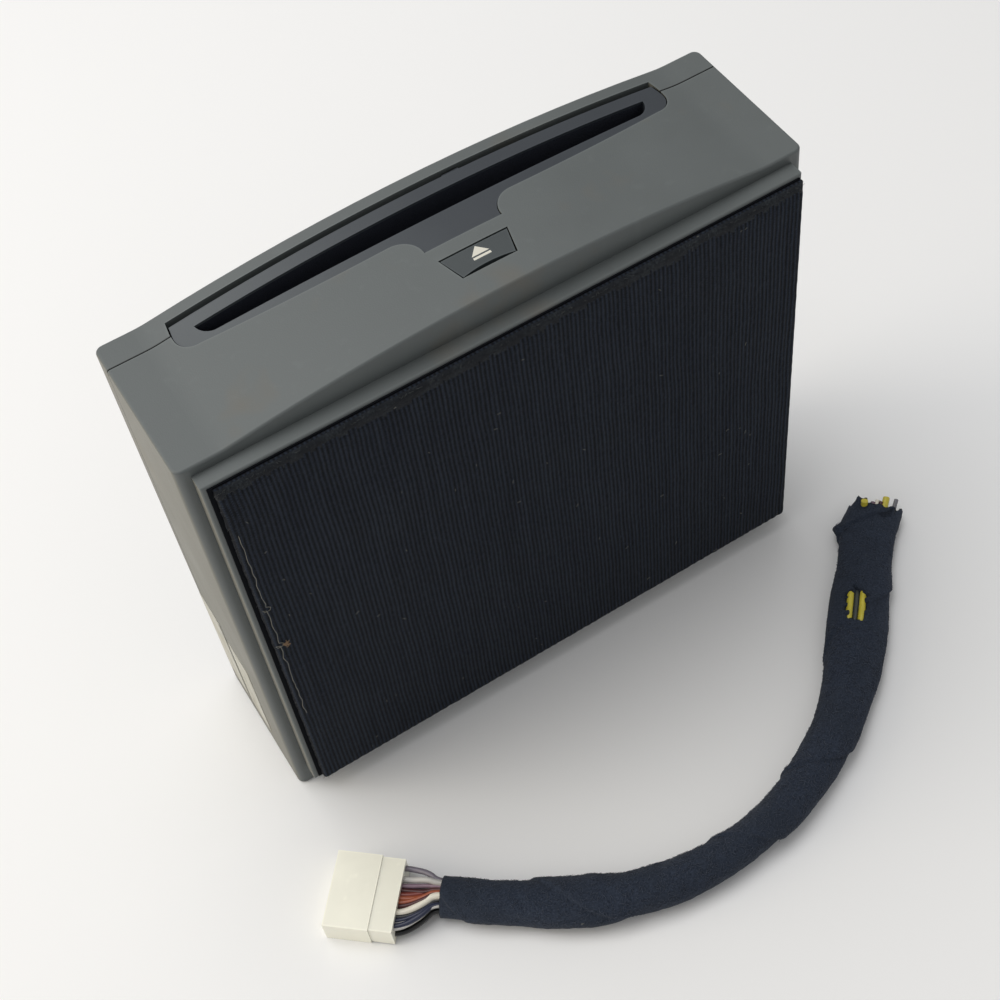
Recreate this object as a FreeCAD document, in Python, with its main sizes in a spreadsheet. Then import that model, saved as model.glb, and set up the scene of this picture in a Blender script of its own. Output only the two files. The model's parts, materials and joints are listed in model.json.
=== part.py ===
import FreeCAD, Part
import math
import os

import Sketcher

# The driving sizes, in millimetres, degrees or counts. The player stands on its rear end: X runs
# along its width, +Z is where the disc slot faces, +Y is its top cover and -Y its hook pad.
SIZES = {
    # Disc path: the disc sets the deck, and the deck sets the case and its depth
    "disc_diameter": 120.0,
    "disc_thickness": 1.2,
    "disc_drop": 11.65,
    "disc_rise": 12.85,
    "disc_rear_room": 22.0,
    # Case
    "case_side_room": 19.2,
    "wall": 2.2,
    "wing_width": 12.5,
    "bulge_rise": 5.7,
    "long_edge_radius": 2.2,
    "front_edge_radius": 0.7,
    "rear_edge_radius": 0.8,
    "gull_radius": 30.0,
    "plateau_height": 4.7,
    "plateau_inset": 3.7,
    "plateau_front_gap": 3.1,
    "plateau_rear_gap": 7.8,
    "plateau_edge_radius": 0.6,
    "seam_gap": 0.25,
    "seam_drop": 8.5,
    "seam_side_drop": 4.6,
    "skirt_drop": 17.0,
    "skirt_length": 52.0,
    # Slot insert
    "insert_end_width": 5.9,
    "insert_back_drop": 5.5,
    "insert_low_drop": 18.9,
    "insert_end_rise": 3.8,
    "insert_end_radius": 5.0,
    "insert_lean": 0.6,
    "insert_lean_height": 4.0,
    "insert_low_radius": 330.0,
    "insert_depth": 8.0,
    "insert_setback": 6.9,
    "insert_sink": 0.35,
    "insert_clearance": 0.2,
    "insert_back_gap": 1.65,
    "catch_width": 5.0,
    "catch_height": 1.1,
    "catch_sink": 1.2,
    "tab_half": 10.9,
    "tab_drop": 25.8,
    "tab_radius": 6.6,
    "key_offset": 1.8,
    "slot_side_room": 5.5,
    "slot_height": 4.5,
    "slot_end_inset": 3.7,
    "slot_end_radius": 5.0,
    "slot_low_radius": 880.0,
    "lip_thickness": 0.8,
    "felt_thickness": 0.6,
    "felt_width": 4.6,
    "felt_opening": 2.4,
    # Eject key
    "key_top_half": 9.5,
    "key_low_half": 7.4,
    "key_top_drop": 30.75,
    "key_low_drop": 38.5,
    "key_low_radius": 30.0,
    "key_gap": 0.35,
    "key_sink": 0.2,
    "key_depth": 3.6,
    "key_flange": 1.0,
    "key_flange_thickness": 1.0,
    "key_flange_gap": 0.2,
    "key_stem_radius": 2.0,
    "key_travel": 0.8,
    "symbol_width": 4.9,
    "symbol_height": 2.85,
    "symbol_top": 0.5,
    "symbol_gap": 0.5,
    "symbol_bar": 0.75,
    "symbol_depth": 0.6,
    # Switch board behind the key
    "switch_board_half": 18.0,
    "switch_board_width": 15.0,
    "switch_board_thickness": 1.6,
    "switch_body": 6.2,
    "switch_body_height": 3.4,
    "plunger_radius": 1.7,
    "plunger_rise": 1.5,
    "plunger_inside": 1.4,
    "switch_post_radius": 2.6,
    "switch_post_place": 14.5,
    # Hook pad
    "film_thickness": 0.4,
    "pad_thickness": 2.1,
    "pad_side_margin": 2.3,
    "pad_front_margin": 1.4,
    "pad_rear_margin": 0.6,
    "film_margin": 0.9,
    # Labels on the left side
    "label_thickness": 0.15,
    "label_margin": 0.6,
    "label_rear_margin": 9.0,
    "label_lower_width": 13.0,
    "label_lower_end": 7.0,
    # Screws and posts
    "screw_radius": 1.3,
    "screw_head_radius": 2.6,
    "screw_head_height": 1.7,
    "screw_hole_clearance": 0.25,
    "post_radius": 3.5,
    "post_wall": 1.7,
    "case_post_side": 6.5,
    "case_post_rear": 14.0,
    "case_post_back": 33.5,
    "case_post_height": 30.0,
    "case_post_gap": 0.1,
    "screw_well_depth": 5.0,
    "inner_screw_length": 5.0,
    # Deck
    "deck_side_room": 9.8,
    "deck_front_room": 5.5,
    "sheet_steel": 0.8,
    "deck_base_thickness": 1.0,
    "top_plate_drop": 4.6,
    "deck_ear_width": 10.0,
    "deck_ear_end": 4.0,
    "deck_post_side": 8.8,
    "deck_post_rear": 16.0,
    "deck_post_back": 45.5,
    # Disc drive
    "turntable_radius": 15.0,
    "turntable_thickness": 2.2,
    "ring_thickness": 0.45,
    "ring_width": 2.3,
    "hub_radius": 7.3,
    "hub_height": 1.4,
    "motor_gap": 0.5,
    "spindle_motor_radius": 12.5,
    "spindle_shaft_radius": 1.0,
    "shaft_clearance": 0.05,
    "traverse_half": 36.0,
    "traverse_rear_margin": 0.5,
    "traverse_front_reach": 16.0,
    "traverse_gap": 2.0,
    "traverse_thickness": 1.2,
    "damper_radius": 3.6,
    # Pickup
    "rod_radius": 1.5,
    "rod_place": 19.0,
    "rod_rise": 4.3,
    "rod_clearance": 0.04,
    "holder_length": 4.0,
    "holder_half": 3.2,
    "sled_stop_gap": 0.5,
    "sled_length": 18.0,
    "sled_half": 23.0,
    "sled_right": 32.0,
    "sled_floor_gap": 2.1,
    "sled_thickness": 4.0,
    "sled_travel": 34.0,
    "lens_inner_radius": 22.0,
    "sled_keel_half": 11.5,
    "sled_keel_length": 13.0,
    "sled_keel_gap": 0.5,
    "window_clearance": 1.0,
    "lens_holder_radius": 4.4,
    "lens_radius": 2.2,
    "lens_gap": 1.3,
    "lens_rise": 0.4,
    "screw_place": 28.0,
    "nut_gap": 0.15,
    "sled_motor_radius": 4.2,
    "sled_motor_length": 14.0,
    # Clamp
    "arm_rear_gap": 4.0,
    "arm_half": 15.0,
    "arm_thickness": 1.0,
    "arm_drop": 6.5,
    "arm_finger_back": 22.0,
    "arm_finger_width": 5.0,
    "arm_pin_radius": 1.0,
    "hinge_pin_radius": 0.8,
    "barrel_radius": 1.45,
    "hinge_half": 31.0,
    "clamper_radius": 12.0,
    "clamper_lift": 1.95,
    "clamper_neck_radius": 8.0,
    "clamper_play": 0.1,
    "clamper_flange_radius": 11.0,
    "clamper_pad_thickness": 1.2,
    "clamper_flange_thickness": 0.8,
    "clamp_angle": 1.65,
    # Cam slider on the right wall of the deck
    "cam_gap": 0.3,
    "cam_thickness": 1.0,
    "cam_rise": 4.0,
    "cam_rivet_radius": 1.2,
    "cam_rivet_head": 2.2,
    "cam_rivet_rise": 8.0,
    "cam_rivet_inset": 6.0,
    "cam_rear_reach": 22.0,
    "cam_front_reach": 32.0,
    "cam_travel": 9.0,
    "cam_slot_play": 0.2,
    # Feed roller and its train on the left wall
    "roller_disc_room": 1.5,
    "roller_end_radius": 4.0,
    "roller_mid_radius": 3.2,
    "roller_side_gap": 11.8,
    "roller_split": 3.0,
    "roller_shaft_radius": 1.5,
    "roller_disc_gap": 0.05,
    "bush_radius": 2.8,
    "bush_length": 2.4,
    "bush_play": 0.05,
    "guide_gap": 0.35,
    "guide_width": 6.0,
    "gear_module": 0.5,
    "pinion_teeth": 12,
    "big_teeth": 30,
    "roller_gear_teeth": 24,
    "gear_width": 2.0,
    "gear_gap": 0.5,
    "gear_wall_gap": 1.0,
    "train_lift": 4.5,
    "train_rise": 5.25,
    "gear_pin_radius": 1.0,
    "gear_pin_play": 0.05,
    "loading_motor_radius": 7.5,
    "loading_motor_length": 22.0,
    "loading_shaft_radius": 0.75,
    # Main board and rear socket
    "board_side_gap": 13.8,
    "board_front_gap": 7.5,
    "board_thickness": 1.6,
    "board_rise": 11.0,
    "board_post_inset": 8.0,
    "board_post_rear": 12.0,
    "board_post_back": 43.5,
    "chip_side": 24.0,
    "chip_height": 1.6,
    "chip_spread": 48.0,
    "chip_place": 60.0,
    "can_height": 8.0,
    "can_radius": 4.0,
    "can_side": 32.0,
    "can_pitch": 12.0,
    "can_rear": 16.0,
    "socket_wall": 1.3,
    "socket_sink": 0.8,
    "socket_floor": 12.5,
    "socket_length": 16.0,
    "socket_play": 0.35,
    "socket_top_gap": 0.7,
    "pin_side": 0.64,
    "pin_reach": 7.0,
    "ribbon_width": 16.0,
    "ribbon_thickness": 0.35,
    "ribbon_back": 31.5,
    # Harness plug
    "plug_width": 23.0,
    "plug_thickness": 9.0,
    "plug_length": 13.2,
    "plug_cover_length": 6.8,
    "plug_cover_step": 0.35,
    "plug_x": -90.1,
    "plug_y": -64.4,
    "plug_turn": -40.5,
    "contact_columns": 8,
    "contact_pitch": 2.5,
    "contact_row_gap": 3.4,
    "contact_hole": 1.4,
    "contact_side": 1.0,
    "contact_depth": 9.0,
    "wire_radius": 0.8,
    "loom_diameter": 14.0,
    "wire_end_length": 6.0,
}

# The loom's route on the table, from the plug to its cut end: points chosen by hand, in X and Y
LOOM_ROUTE = [
    (-72.0, -77.1),
    (-47.5, -97.5),
    (-18.0, -109.6),
    (13.5, -110.6),
    (42.5, -99.0),
    (68.0, -81.5),
    (90.5, -58.5),
    (108.0, -38.6),
]

doc = FreeCAD.newDocument("disc_player")
sheet = doc.addObject("Spreadsheet::Sheet", "Sizes")
for row, (alias, number) in enumerate(SIZES.items(), start=1):
    sheet.set("A%d" % row, alias)
    sheet.set("B%d" % row, str(number))
    sheet.setAlias("B%d" % row, alias)
doc.recompute()


class Size:
    """A length that knows its number and the expression that gives it."""

    def __init__(self, text, number):
        self.text, self.number = text, float(number)

    def joined(self, sign, other, number, turned=False):
        left, right = (self.text, wording(other))
        if turned:
            left, right = right, left
        return Size("(%s %s %s)" % (left, sign, right), number)

    def __add__(self, other):
        return self.joined("+", other, self.number + float(other))

    def __radd__(self, other):
        return self.joined("+", other, float(other) + self.number, turned=True)

    def __sub__(self, other):
        return self.joined("-", other, self.number - float(other))

    def __rsub__(self, other):
        return self.joined("-", other, float(other) - self.number, turned=True)

    def __mul__(self, other):
        return self.joined("*", other, self.number * float(other))

    def __rmul__(self, other):
        return self.joined("*", other, float(other) * self.number, turned=True)

    def __truediv__(self, other):
        return self.joined("/", other, self.number / float(other))

    def __neg__(self):
        return Size("(0 - %s)" % self.text, -self.number)

    def __float__(self):
        return self.number


def wording(size):
    """The expression of a size, or a plain number as text."""
    return size.text if isinstance(size, Size) else repr(float(size))


def root(size):
    return Size("sqrt(%s)" % size.text, math.sqrt(size.number))


def sheet_size(alias):
    return Size("Sizes." + alias, sheet.get(alias))


places = doc.addObject("App::VarSet", "Places")


def place(name, size):
    """A derived place, kept in the document under its own name."""
    places.addProperty("App::PropertyFloat", name)
    places.setExpression(name, wording(size))
    return Size("Places." + name, float(size))


S = {alias: sheet_size(alias) for alias in SIZES}

# Places that several pieces share
DISC_RADIUS = place("disc_radius", S["disc_diameter"] / 2)
DECK_HALF = place("deck_half", DISC_RADIUS + S["deck_side_room"])
HALF = place("half_width", DECK_HALF + S["case_side_room"])
BULGE_HALF = place("bulge_half", HALF - S["wing_width"])
SLOT_HALF = place("slot_half", DISC_RADIUS + S["slot_side_room"])
INSERT_HALF = place("insert_half", SLOT_HALF + S["insert_end_width"])
SOCKET_HALF_Y = place("socket_half_y", S["plug_thickness"] / 2 + S["socket_play"] + S["socket_wall"])
BOARD_ROOM = S["board_rise"] + SOCKET_HALF_Y * 2 + S["socket_top_gap"]
DECK_ROOM = S["deck_base_thickness"] + S["disc_rise"] + S["disc_drop"]
CASE_DEPTH = place("case_depth", S["wall"] - S["plateau_height"] + BOARD_ROOM + DECK_ROOM)
LAYERS = S["plateau_height"] + S["film_thickness"] + S["pad_thickness"]
Y_TOP = place("y_top", (CASE_DEPTH + LAYERS) / 2)
Y_UNDER = place("y_under", Y_TOP - CASE_DEPTH)
Y_PLATEAU = place("y_plateau", Y_UNDER - S["plateau_height"])
Y_FILM = place("y_film", Y_PLATEAU - S["film_thickness"])
Y_PAD = place("y_pad", Y_FILM - S["pad_thickness"])
Y_CEILING = place("y_ceiling", Y_TOP - S["wall"])
Y_FLOOR = place("y_floor", Y_PLATEAU + S["wall"])
Z_SPINDLE = place("z_spindle", DISC_RADIUS + S["disc_rear_room"])
Z_ROLLER = place("z_roller", Z_SPINDLE + DISC_RADIUS + S["roller_disc_room"])
Z_INSERT_BACK = place("z_insert_back", Z_ROLLER + S["insert_setback"])
Z_WING = place("z_wing", Z_INSERT_BACK + S["insert_depth"])
Z_INNER = place("z_inner", Z_WING - S["wall"])
Z_CROWN = place("z_crown", Z_WING + S["bulge_rise"])
FACE_RADIUS = place(
    "face_radius",
    (BULGE_HALF * BULGE_HALF + S["bulge_rise"] * S["bulge_rise"]) / (2 * S["bulge_rise"]),
)
Y_DISC = place("y_disc", Y_TOP - S["disc_drop"])
Y_DISC_LOW = place("y_disc_low", Y_DISC - S["disc_thickness"] / 2)
Y_DISC_HIGH = place("y_disc_high", Y_DISC + S["disc_thickness"] / 2)
Y_DECK_FLOOR = place("y_deck_floor", Y_DISC - S["disc_rise"])
Y_DECK_UNDER = place("y_deck_under", Y_DECK_FLOOR - S["deck_base_thickness"])
Y_PLATE = place("y_plate", Y_TOP - S["top_plate_drop"] - S["sheet_steel"])
Y_TRAVERSE = place("y_traverse", Y_DECK_FLOOR + S["traverse_gap"] + S["traverse_thickness"])
Y_ROD = place("y_rod", Y_TRAVERSE + S["rod_rise"])
Y_ARM = place("y_arm", Y_TOP - S["arm_drop"])
Y_BOARD = place("y_board", Y_FLOOR + S["board_rise"])
Y_ROLLER = place("y_roller", Y_DISC_LOW - S["roller_disc_gap"] - S["roller_end_radius"])
Z_LENS = place("z_lens", Z_SPINDLE - S["lens_inner_radius"])
SLED_REACH = S["sled_length"] / 2 + S["sled_stop_gap"] + S["holder_length"]
HOLDER_REAR = place("holder_rear", Z_LENS - S["sled_travel"] - SLED_REACH)
HOLDER_FRONT = place("holder_front", Z_LENS + SLED_REACH)
DECK_REAR = place("deck_rear", HOLDER_REAR - S["traverse_rear_margin"])
DECK_FRONT = place("deck_front", Z_ROLLER + S["deck_front_room"])
TRAVERSE_FRONT = place("traverse_front", Z_SPINDLE + S["traverse_front_reach"])
ARM_REAR = place("arm_rear", DECK_REAR + S["arm_rear_gap"])
ARM_FRONT = place("arm_front", Z_SPINDLE + S["arm_half"])
Z_ARM_FINGER = place("z_arm_finger", Z_SPINDLE - S["arm_finger_back"])
CAM_REAR = place("cam_rear", Z_ARM_FINGER - S["cam_rear_reach"])
CAM_FRONT = place("cam_front", Z_ARM_FINGER + S["cam_front_reach"])
BOARD_HALF = place("board_half", HALF - S["wall"] - S["board_side_gap"])
BOARD_FRONT = place("board_front", Z_ROLLER - S["board_front_gap"])
DECK_POST_X = place("deck_post_x", HALF - S["wall"] - S["deck_post_side"])
DECK_POST_ROWS = (
    place("deck_post_rear_row", DECK_REAR + S["deck_post_rear"]),
    place("deck_post_front_row", Z_ROLLER - S["deck_post_back"]),
)
CASE_POST_X = place("case_post_x", HALF - S["wall"] - S["case_post_side"])
CASE_POST_ROWS = (S["case_post_rear"], place("case_post_front_row", Z_ROLLER - S["case_post_back"]))
BOARD_POST_X = place("board_post_x", BOARD_HALF - S["board_post_inset"])
BOARD_POST_ROWS = (
    place("board_post_rear_row", DECK_REAR + S["board_post_rear"]),
    place("board_post_front_row", Z_ROLLER - S["board_post_back"]),
)

PARTS = {}


def keep(node, thing):
    """Names a finished sub-part."""
    thing.Label = node
    PARTS[node] = thing
    return thing


def bind(thing, **sizes):
    """Binds properties to expressions; an underscore stands for a dot in a property's path."""
    for path, size in sizes.items():
        thing.setExpression(path.replace("__", "."), wording(size))
    return thing


def move(thing, x=None, y=None, z=None):
    for axis, size in (("x", x), ("y", y), ("z", z)):
        if size is not None:
            thing.setExpression("Placement.Base." + axis, wording(size))
    return thing


def block(name, x, y, z):
    """A box between two places along each axis."""
    box = doc.addObject("Part::Box", name)
    bind(box, Length=x[1] - x[0], Width=y[1] - y[0], Height=z[1] - z[0])
    return move(box, x[0], y[0], z[0])


TURNS = {
    "x": FreeCAD.Rotation(FreeCAD.Vector(0, 1, 0), 90),
    "y": FreeCAD.Rotation(FreeCAD.Vector(1, 0, 0), -90),
    "z": FreeCAD.Rotation(),
}


def rod(name, axis, radius, span, **at):
    """A cylinder along an axis, between two places on it, at two other coordinates."""
    cylinder = doc.addObject("Part::Cylinder", name)
    cylinder.Placement.Rotation = TURNS[axis]
    bind(cylinder, Radius=radius, Height=span[1] - span[0])
    at[axis] = span[0]
    return move(cylinder, at["x"], at["y"], at["z"])


def cut(name, base, *tools):
    tool = tools[0] if len(tools) == 1 else fuse(name + "_tools", *tools)
    result = doc.addObject("Part::Cut", name)
    result.Base, result.Tool = base, tool
    return result


def fuse(name, *shapes):
    result = doc.addObject("Part::MultiFuse", name)
    result.Shapes = list(shapes)
    result.Refine = True
    return result


def common(name, base, tool):
    result = doc.addObject("Part::Common", name)
    result.Base, result.Tool = base, tool
    return result


def group(name, *shapes):
    """Separate solids that share one node."""
    result = doc.addObject("Part::Compound", name)
    result.Links = list(shapes)
    return result


def tube(name, axis, outer, inner, span, **at):
    wall, bore = rod(name + "_outer", axis, outer, span, **at), rod(name + "_bore", axis, inner, span, **at)
    return cut(name, wall, bore)


PLANES = {"XY": ("XY_Plane", 1), "XZ": ("XZ_Plane", -1), "YZ": ("YZ_Plane", 1)}


def new_body(name):
    return doc.addObject("PartDesign::Body", name + "_body")


def sketch_on(body, plane, at):
    """A sketch on one of the body's own origin planes, offset to a place along that plane's axis."""
    role, sign = PLANES[plane]
    origin_plane = next(item for item in body.Origin.OriginFeatures if item.Role == role)
    sketch = body.newObject("Sketcher::SketchObject", body.Name + "_sketch")
    sketch.AttachmentSupport = [(origin_plane, "")]
    sketch.MapMode = "FlatFace"
    sketch.setExpression("AttachmentOffset.Base.z", wording(sign * at))
    return sketch


def pinned(sketch, geometry, position, across, up):
    """Fixes one point of a sketch by its two bound distances from the origin."""
    for kind, size in (("DistanceX", across), ("DistanceY", up)):
        index = sketch.addConstraint(Sketcher.Constraint(kind, -1, 1, geometry, position, float(size)))
        sketch.setExpression("Constraints[%d]" % index, wording(size))


def draw_circle(sketch, across, up, radius):
    centre = FreeCAD.Vector(float(across), float(up), 0)
    geometry = sketch.addGeometry(Part.Circle(centre, FreeCAD.Vector(0, 0, 1), float(radius)))
    pinned(sketch, geometry, 3, across, up)
    index = sketch.addConstraint(Sketcher.Constraint("Radius", geometry, float(radius)))
    sketch.setExpression("Constraints[%d]" % index, wording(radius))


def arc_between(start, end, radius, side):
    """The shorter arc from start to end; side 1 swells to the left of the way, -1 to the right."""
    chord = end - start
    half = chord.Length / 2
    left = FreeCAD.Vector(-chord.y, chord.x, 0).normalize()
    reach = math.sqrt(max(radius * radius - half * half, 0.0))
    centre = (start + end) * 0.5 - left * (reach * side)
    first, last = (start, end) if side < 0 else (end, start)
    angles = [math.atan2(point.y - centre.y, point.x - centre.x) for point in (first, last)]
    if angles[1] < angles[0]:
        angles[1] += 2 * math.pi
    return Part.ArcOfCircle(Part.Circle(centre, FreeCAD.Vector(0, 0, 1), radius), *angles)


def draw_outline(sketch, corners):
    """A closed outline of (across, up) corners; (across, up, radius, side) starts an arc."""
    points = [FreeCAD.Vector(float(c[0]), float(c[1]), 0) for c in corners]
    ends = []
    for i, corner in enumerate(corners):
        start, end = points[i], points[(i + 1) % len(points)]
        if len(corner) == 2:
            geometry = sketch.addGeometry(Part.LineSegment(start, end))
            ends.append((geometry, 1, 2))
            continue
        geometry = sketch.addGeometry(arc_between(start, end, float(corner[2]), corner[3]))
        ends.append((geometry, 1, 2) if corner[3] < 0 else (geometry, 2, 1))
        index = sketch.addConstraint(Sketcher.Constraint("Radius", geometry, float(corner[2])))
        sketch.setExpression("Constraints[%d]" % index, wording(corner[2]))
    for i, corner in enumerate(corners):
        before, here = ends[i - 1], ends[i]
        sketch.addConstraint(Sketcher.Constraint("Coincident", before[0], before[2], here[0], here[1]))
        pinned(sketch, here[0], here[1], corner[0], corner[1])


def extrude(body, plane, outlines, low, high, away=False):
    """Adds a pad, or with away a pocket, of the outlines between two places along the plane's axis."""
    sketch = sketch_on(body, plane, low)
    for outline in outlines:
        if outline[0] == "circle":
            draw_circle(sketch, *outline[1:])
        else:
            draw_outline(sketch, outline)
    feature = body.newObject("PartDesign::Pocket" if away else "PartDesign::Pad", body.Name + "_feature")
    feature.Profile = sketch
    bind(feature, Length=high - low)
    feature.Reversed = away if plane != "XZ" else not away
    sketch.Visibility = False
    return feature


def rounded(body, radius, choose):
    """Fillets the edges of the body's tip that choose picks."""
    doc.recompute()
    tip = body.Tip
    names = ["Edge%d" % (i + 1) for i, edge in enumerate(tip.Shape.Edges) if choose(edge)]
    fillet = body.newObject("PartDesign::Fillet", body.Name + "_fillet")
    fillet.Base = (tip, names)
    bind(fillet, Radius=radius)
    return fillet


def near(value, place_, slack=1e-3):
    return abs(value - float(place_)) < slack


def corners_of(edge):
    return [vertex.Point for vertex in edge.Vertexes]


def rectangle(x, y):
    return [(x[0], y[0]), (x[1], y[0]), (x[1], y[1]), (x[0], y[1])]


def face_profile(inset):
    """The case seen from above: straight sides and rear, flat wings, and the raised arc between them."""
    side, rear, wing = HALF - inset, inset, Z_WING - inset
    arc_end = BULGE_HALF
    return [
        (-side, rear),
        (side, rear),
        (side, wing),
        (arc_end, wing, FACE_RADIUS, -1),
        (-arc_end, wing),
        (-side, wing),
    ]


ZERO = Size("0.0", 0.0)
BEYOND = 12.0


def upper_region(gap):
    """The side view, in Y and Z, of everything above the parting line."""
    front, rear = Z_CROWN + BEYOND, ZERO - BEYOND
    high = Y_TOP + BEYOND
    return [
        (Y_TOP - S["seam_drop"] - gap, front),
        (high, front),
        (high, rear),
        (Y_TOP - S["skirt_drop"] - gap, rear),
        (Y_TOP - S["skirt_drop"] - gap, S["skirt_length"] + gap),
        (Y_TOP - S["seam_side_drop"] - gap, S["skirt_length"] + gap),
        (Y_TOP - S["seam_drop"] - gap, Z_WING - S["front_edge_radius"]),
    ]


def lower_region():
    """The side view, in Y and Z, of everything below the parting line."""
    front, rear = Z_CROWN + BEYOND, ZERO - BEYOND
    low = Y_PAD - BEYOND
    return [
        (Y_TOP - S["seam_drop"], front),
        (Y_TOP - S["seam_drop"], Z_WING - S["front_edge_radius"]),
        (Y_TOP - S["seam_side_drop"], S["skirt_length"]),
        (Y_TOP - S["skirt_drop"], S["skirt_length"]),
        (Y_TOP - S["skirt_drop"], rear),
        (low, rear),
        (low, front),
    ]


def insert_outline(clearance, back_gap):
    """The slot insert seen from the front, with its tab, grown by a clearance."""
    half = INSERT_HALF + clearance
    back = Y_TOP - S["insert_back_drop"] + back_gap
    low = Y_TOP - S["insert_low_drop"] - clearance
    end_low = low + S["insert_end_rise"]
    end_radius = S["insert_end_radius"]
    tab_left, tab_right = (S["key_offset"] + side * (S["tab_half"] + clearance) for side in (-1, 1))
    tab_low = Y_TOP - S["tab_drop"] - clearance
    bend = S["tab_radius"] - clearance
    return [
        (-half, back - S["insert_lean_height"]),
        (-half, end_low + end_radius, end_radius, -1),
        (-half + end_radius, end_low, S["insert_low_radius"], -1),
        (tab_left - bend, low, bend, 1),
        (tab_left, low - bend),
        (tab_left, tab_low),
        (tab_right, tab_low),
        (tab_right, low - bend, bend, 1),
        (tab_right + bend, low, S["insert_low_radius"], -1),
        (half - end_radius, end_low, end_radius, -1),
        (half, end_low + end_radius),
        (half, back - S["insert_lean_height"]),
        (half - S["insert_lean"], back),
        (-half + S["insert_lean"], back),
    ]


def mouth_outline(grow):
    """The disc slot seen from the front: level above, bowed below, with rounded ends."""
    half = SLOT_HALF + grow
    low_half = half - S["slot_end_inset"]
    high, low = Y_DISC + S["slot_height"] / 2 + grow, Y_DISC - S["slot_height"] / 2 - grow
    return [
        (-half, high, S["slot_end_radius"], -1),
        (-low_half, low, S["slot_low_radius"], -1),
        (low_half, low, S["slot_end_radius"], -1),
        (half, high),
    ]


def key_outline(grow, bowed=True):
    """The eject key seen from the front: a trapezoid, with its lower edge bowed up."""
    middle = S["key_offset"]
    high, low = Y_TOP - S["key_top_drop"] + grow, Y_TOP - S["key_low_drop"] - grow
    top_half, low_half = S["key_top_half"] + grow, S["key_low_half"] + grow
    low_left = (middle - low_half, low, S["key_low_radius"], 1) if bowed else (middle - low_half, low)
    return [(middle - top_half, high), low_left, (middle + low_half, low), (middle + top_half, high)]


def case_body(name):
    """The whole case as one rounded block, which each shell starts from."""
    body = new_body(name)
    extrude(body, "XZ", [face_profile(ZERO)], Y_UNDER, Y_TOP)

    def along_y(edge):
        ends = corners_of(edge)
        return len(ends) == 2 and abs(ends[0].y - ends[1].y) > float(CASE_DEPTH) / 2

    def concave(edge):
        return along_y(edge) and near(abs(corners_of(edge)[0].x), BULGE_HALF)

    def long_edge(edge):
        ends = corners_of(edge)
        straight_z = len(ends) == 2 and near(ends[0].x, ends[1].x) and near(ends[0].y, ends[1].y)
        return straight_z and near(abs(ends[0].x), HALF)

    def front_rim(edge):
        box = edge.BoundBox
        return box.ZMin > float(Z_WING) - 1e-3 and box.ZMax - box.ZMin < float(S["bulge_rise"]) + 1e-3 and (
            not along_y(edge) or near(abs(corners_of(edge)[0].x), HALF)
        )

    def rear_rim(edge):
        return edge.BoundBox.ZMax < 1e-3

    rounded(body, S["gull_radius"], concave)
    rounded(body, S["long_edge_radius"], long_edge)
    rounded(body, S["front_edge_radius"], front_rim)
    rounded(body, S["rear_edge_radius"], rear_rim)
    return body


def spots(across, rows):
    """The four places at two sides and in two rows."""
    return [(side * across, row) for side in (-1, 1) for row in rows]


def case_posts():
    return spots(CASE_POST_X, CASE_POST_ROWS)


def deck_posts():
    return spots(DECK_POST_X, DECK_POST_ROWS)


def board_posts():
    return spots(BOARD_POST_X, BOARD_POST_ROWS)


SOCKET_HALF_X = place("socket_half_x", S["plug_width"] / 2 + S["socket_play"] + S["socket_wall"])
SOCKET_Y = place("socket_y", Y_BOARD + SOCKET_HALF_Y)
SWITCH_Y = place("switch_y", Y_TOP - (S["key_top_drop"] + S["key_low_drop"]) / 2)
Z_KEY_BACK = place("z_key_back", Z_CROWN - S["wall"] - S["key_flange_gap"] - S["key_flange_thickness"])
Z_PLUNGER = place("z_plunger", Z_KEY_BACK - S["key_depth"])
Z_SWITCH = place("z_switch", Z_PLUNGER - S["plunger_rise"])
Z_SWITCH_BOARD = place("z_switch_board", Z_SWITCH - S["switch_body_height"])
POST_SEAT = place("post_seat", Y_PLATEAU + S["screw_well_depth"])
POST_TOP = place("post_top", POST_SEAT + S["case_post_height"])


def upper_shell():
    body = case_body("upper_shell")
    extrude(body, "YZ", [lower_region()], -HALF - BEYOND, HALF + BEYOND, away=True)
    extrude(body, "XZ", [face_profile(S["wall"])], Y_UNDER, Y_CEILING, away=True)
    extrude(body, "XY", [insert_outline(S["insert_clearance"], S["insert_back_gap"])],
            Z_INSERT_BACK, Z_CROWN + BEYOND, away=True)
    outer = [("circle", x, z, S["post_radius"]) for x, z in case_posts()]
    extrude(body, "XZ", outer, POST_TOP + S["case_post_gap"], Y_CEILING)
    holes = [("circle", x, z, S["screw_radius"]) for x, z in case_posts()]
    extrude(body, "XZ", holes, POST_TOP, Y_CEILING - S["wall"], away=True)
    return body


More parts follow.
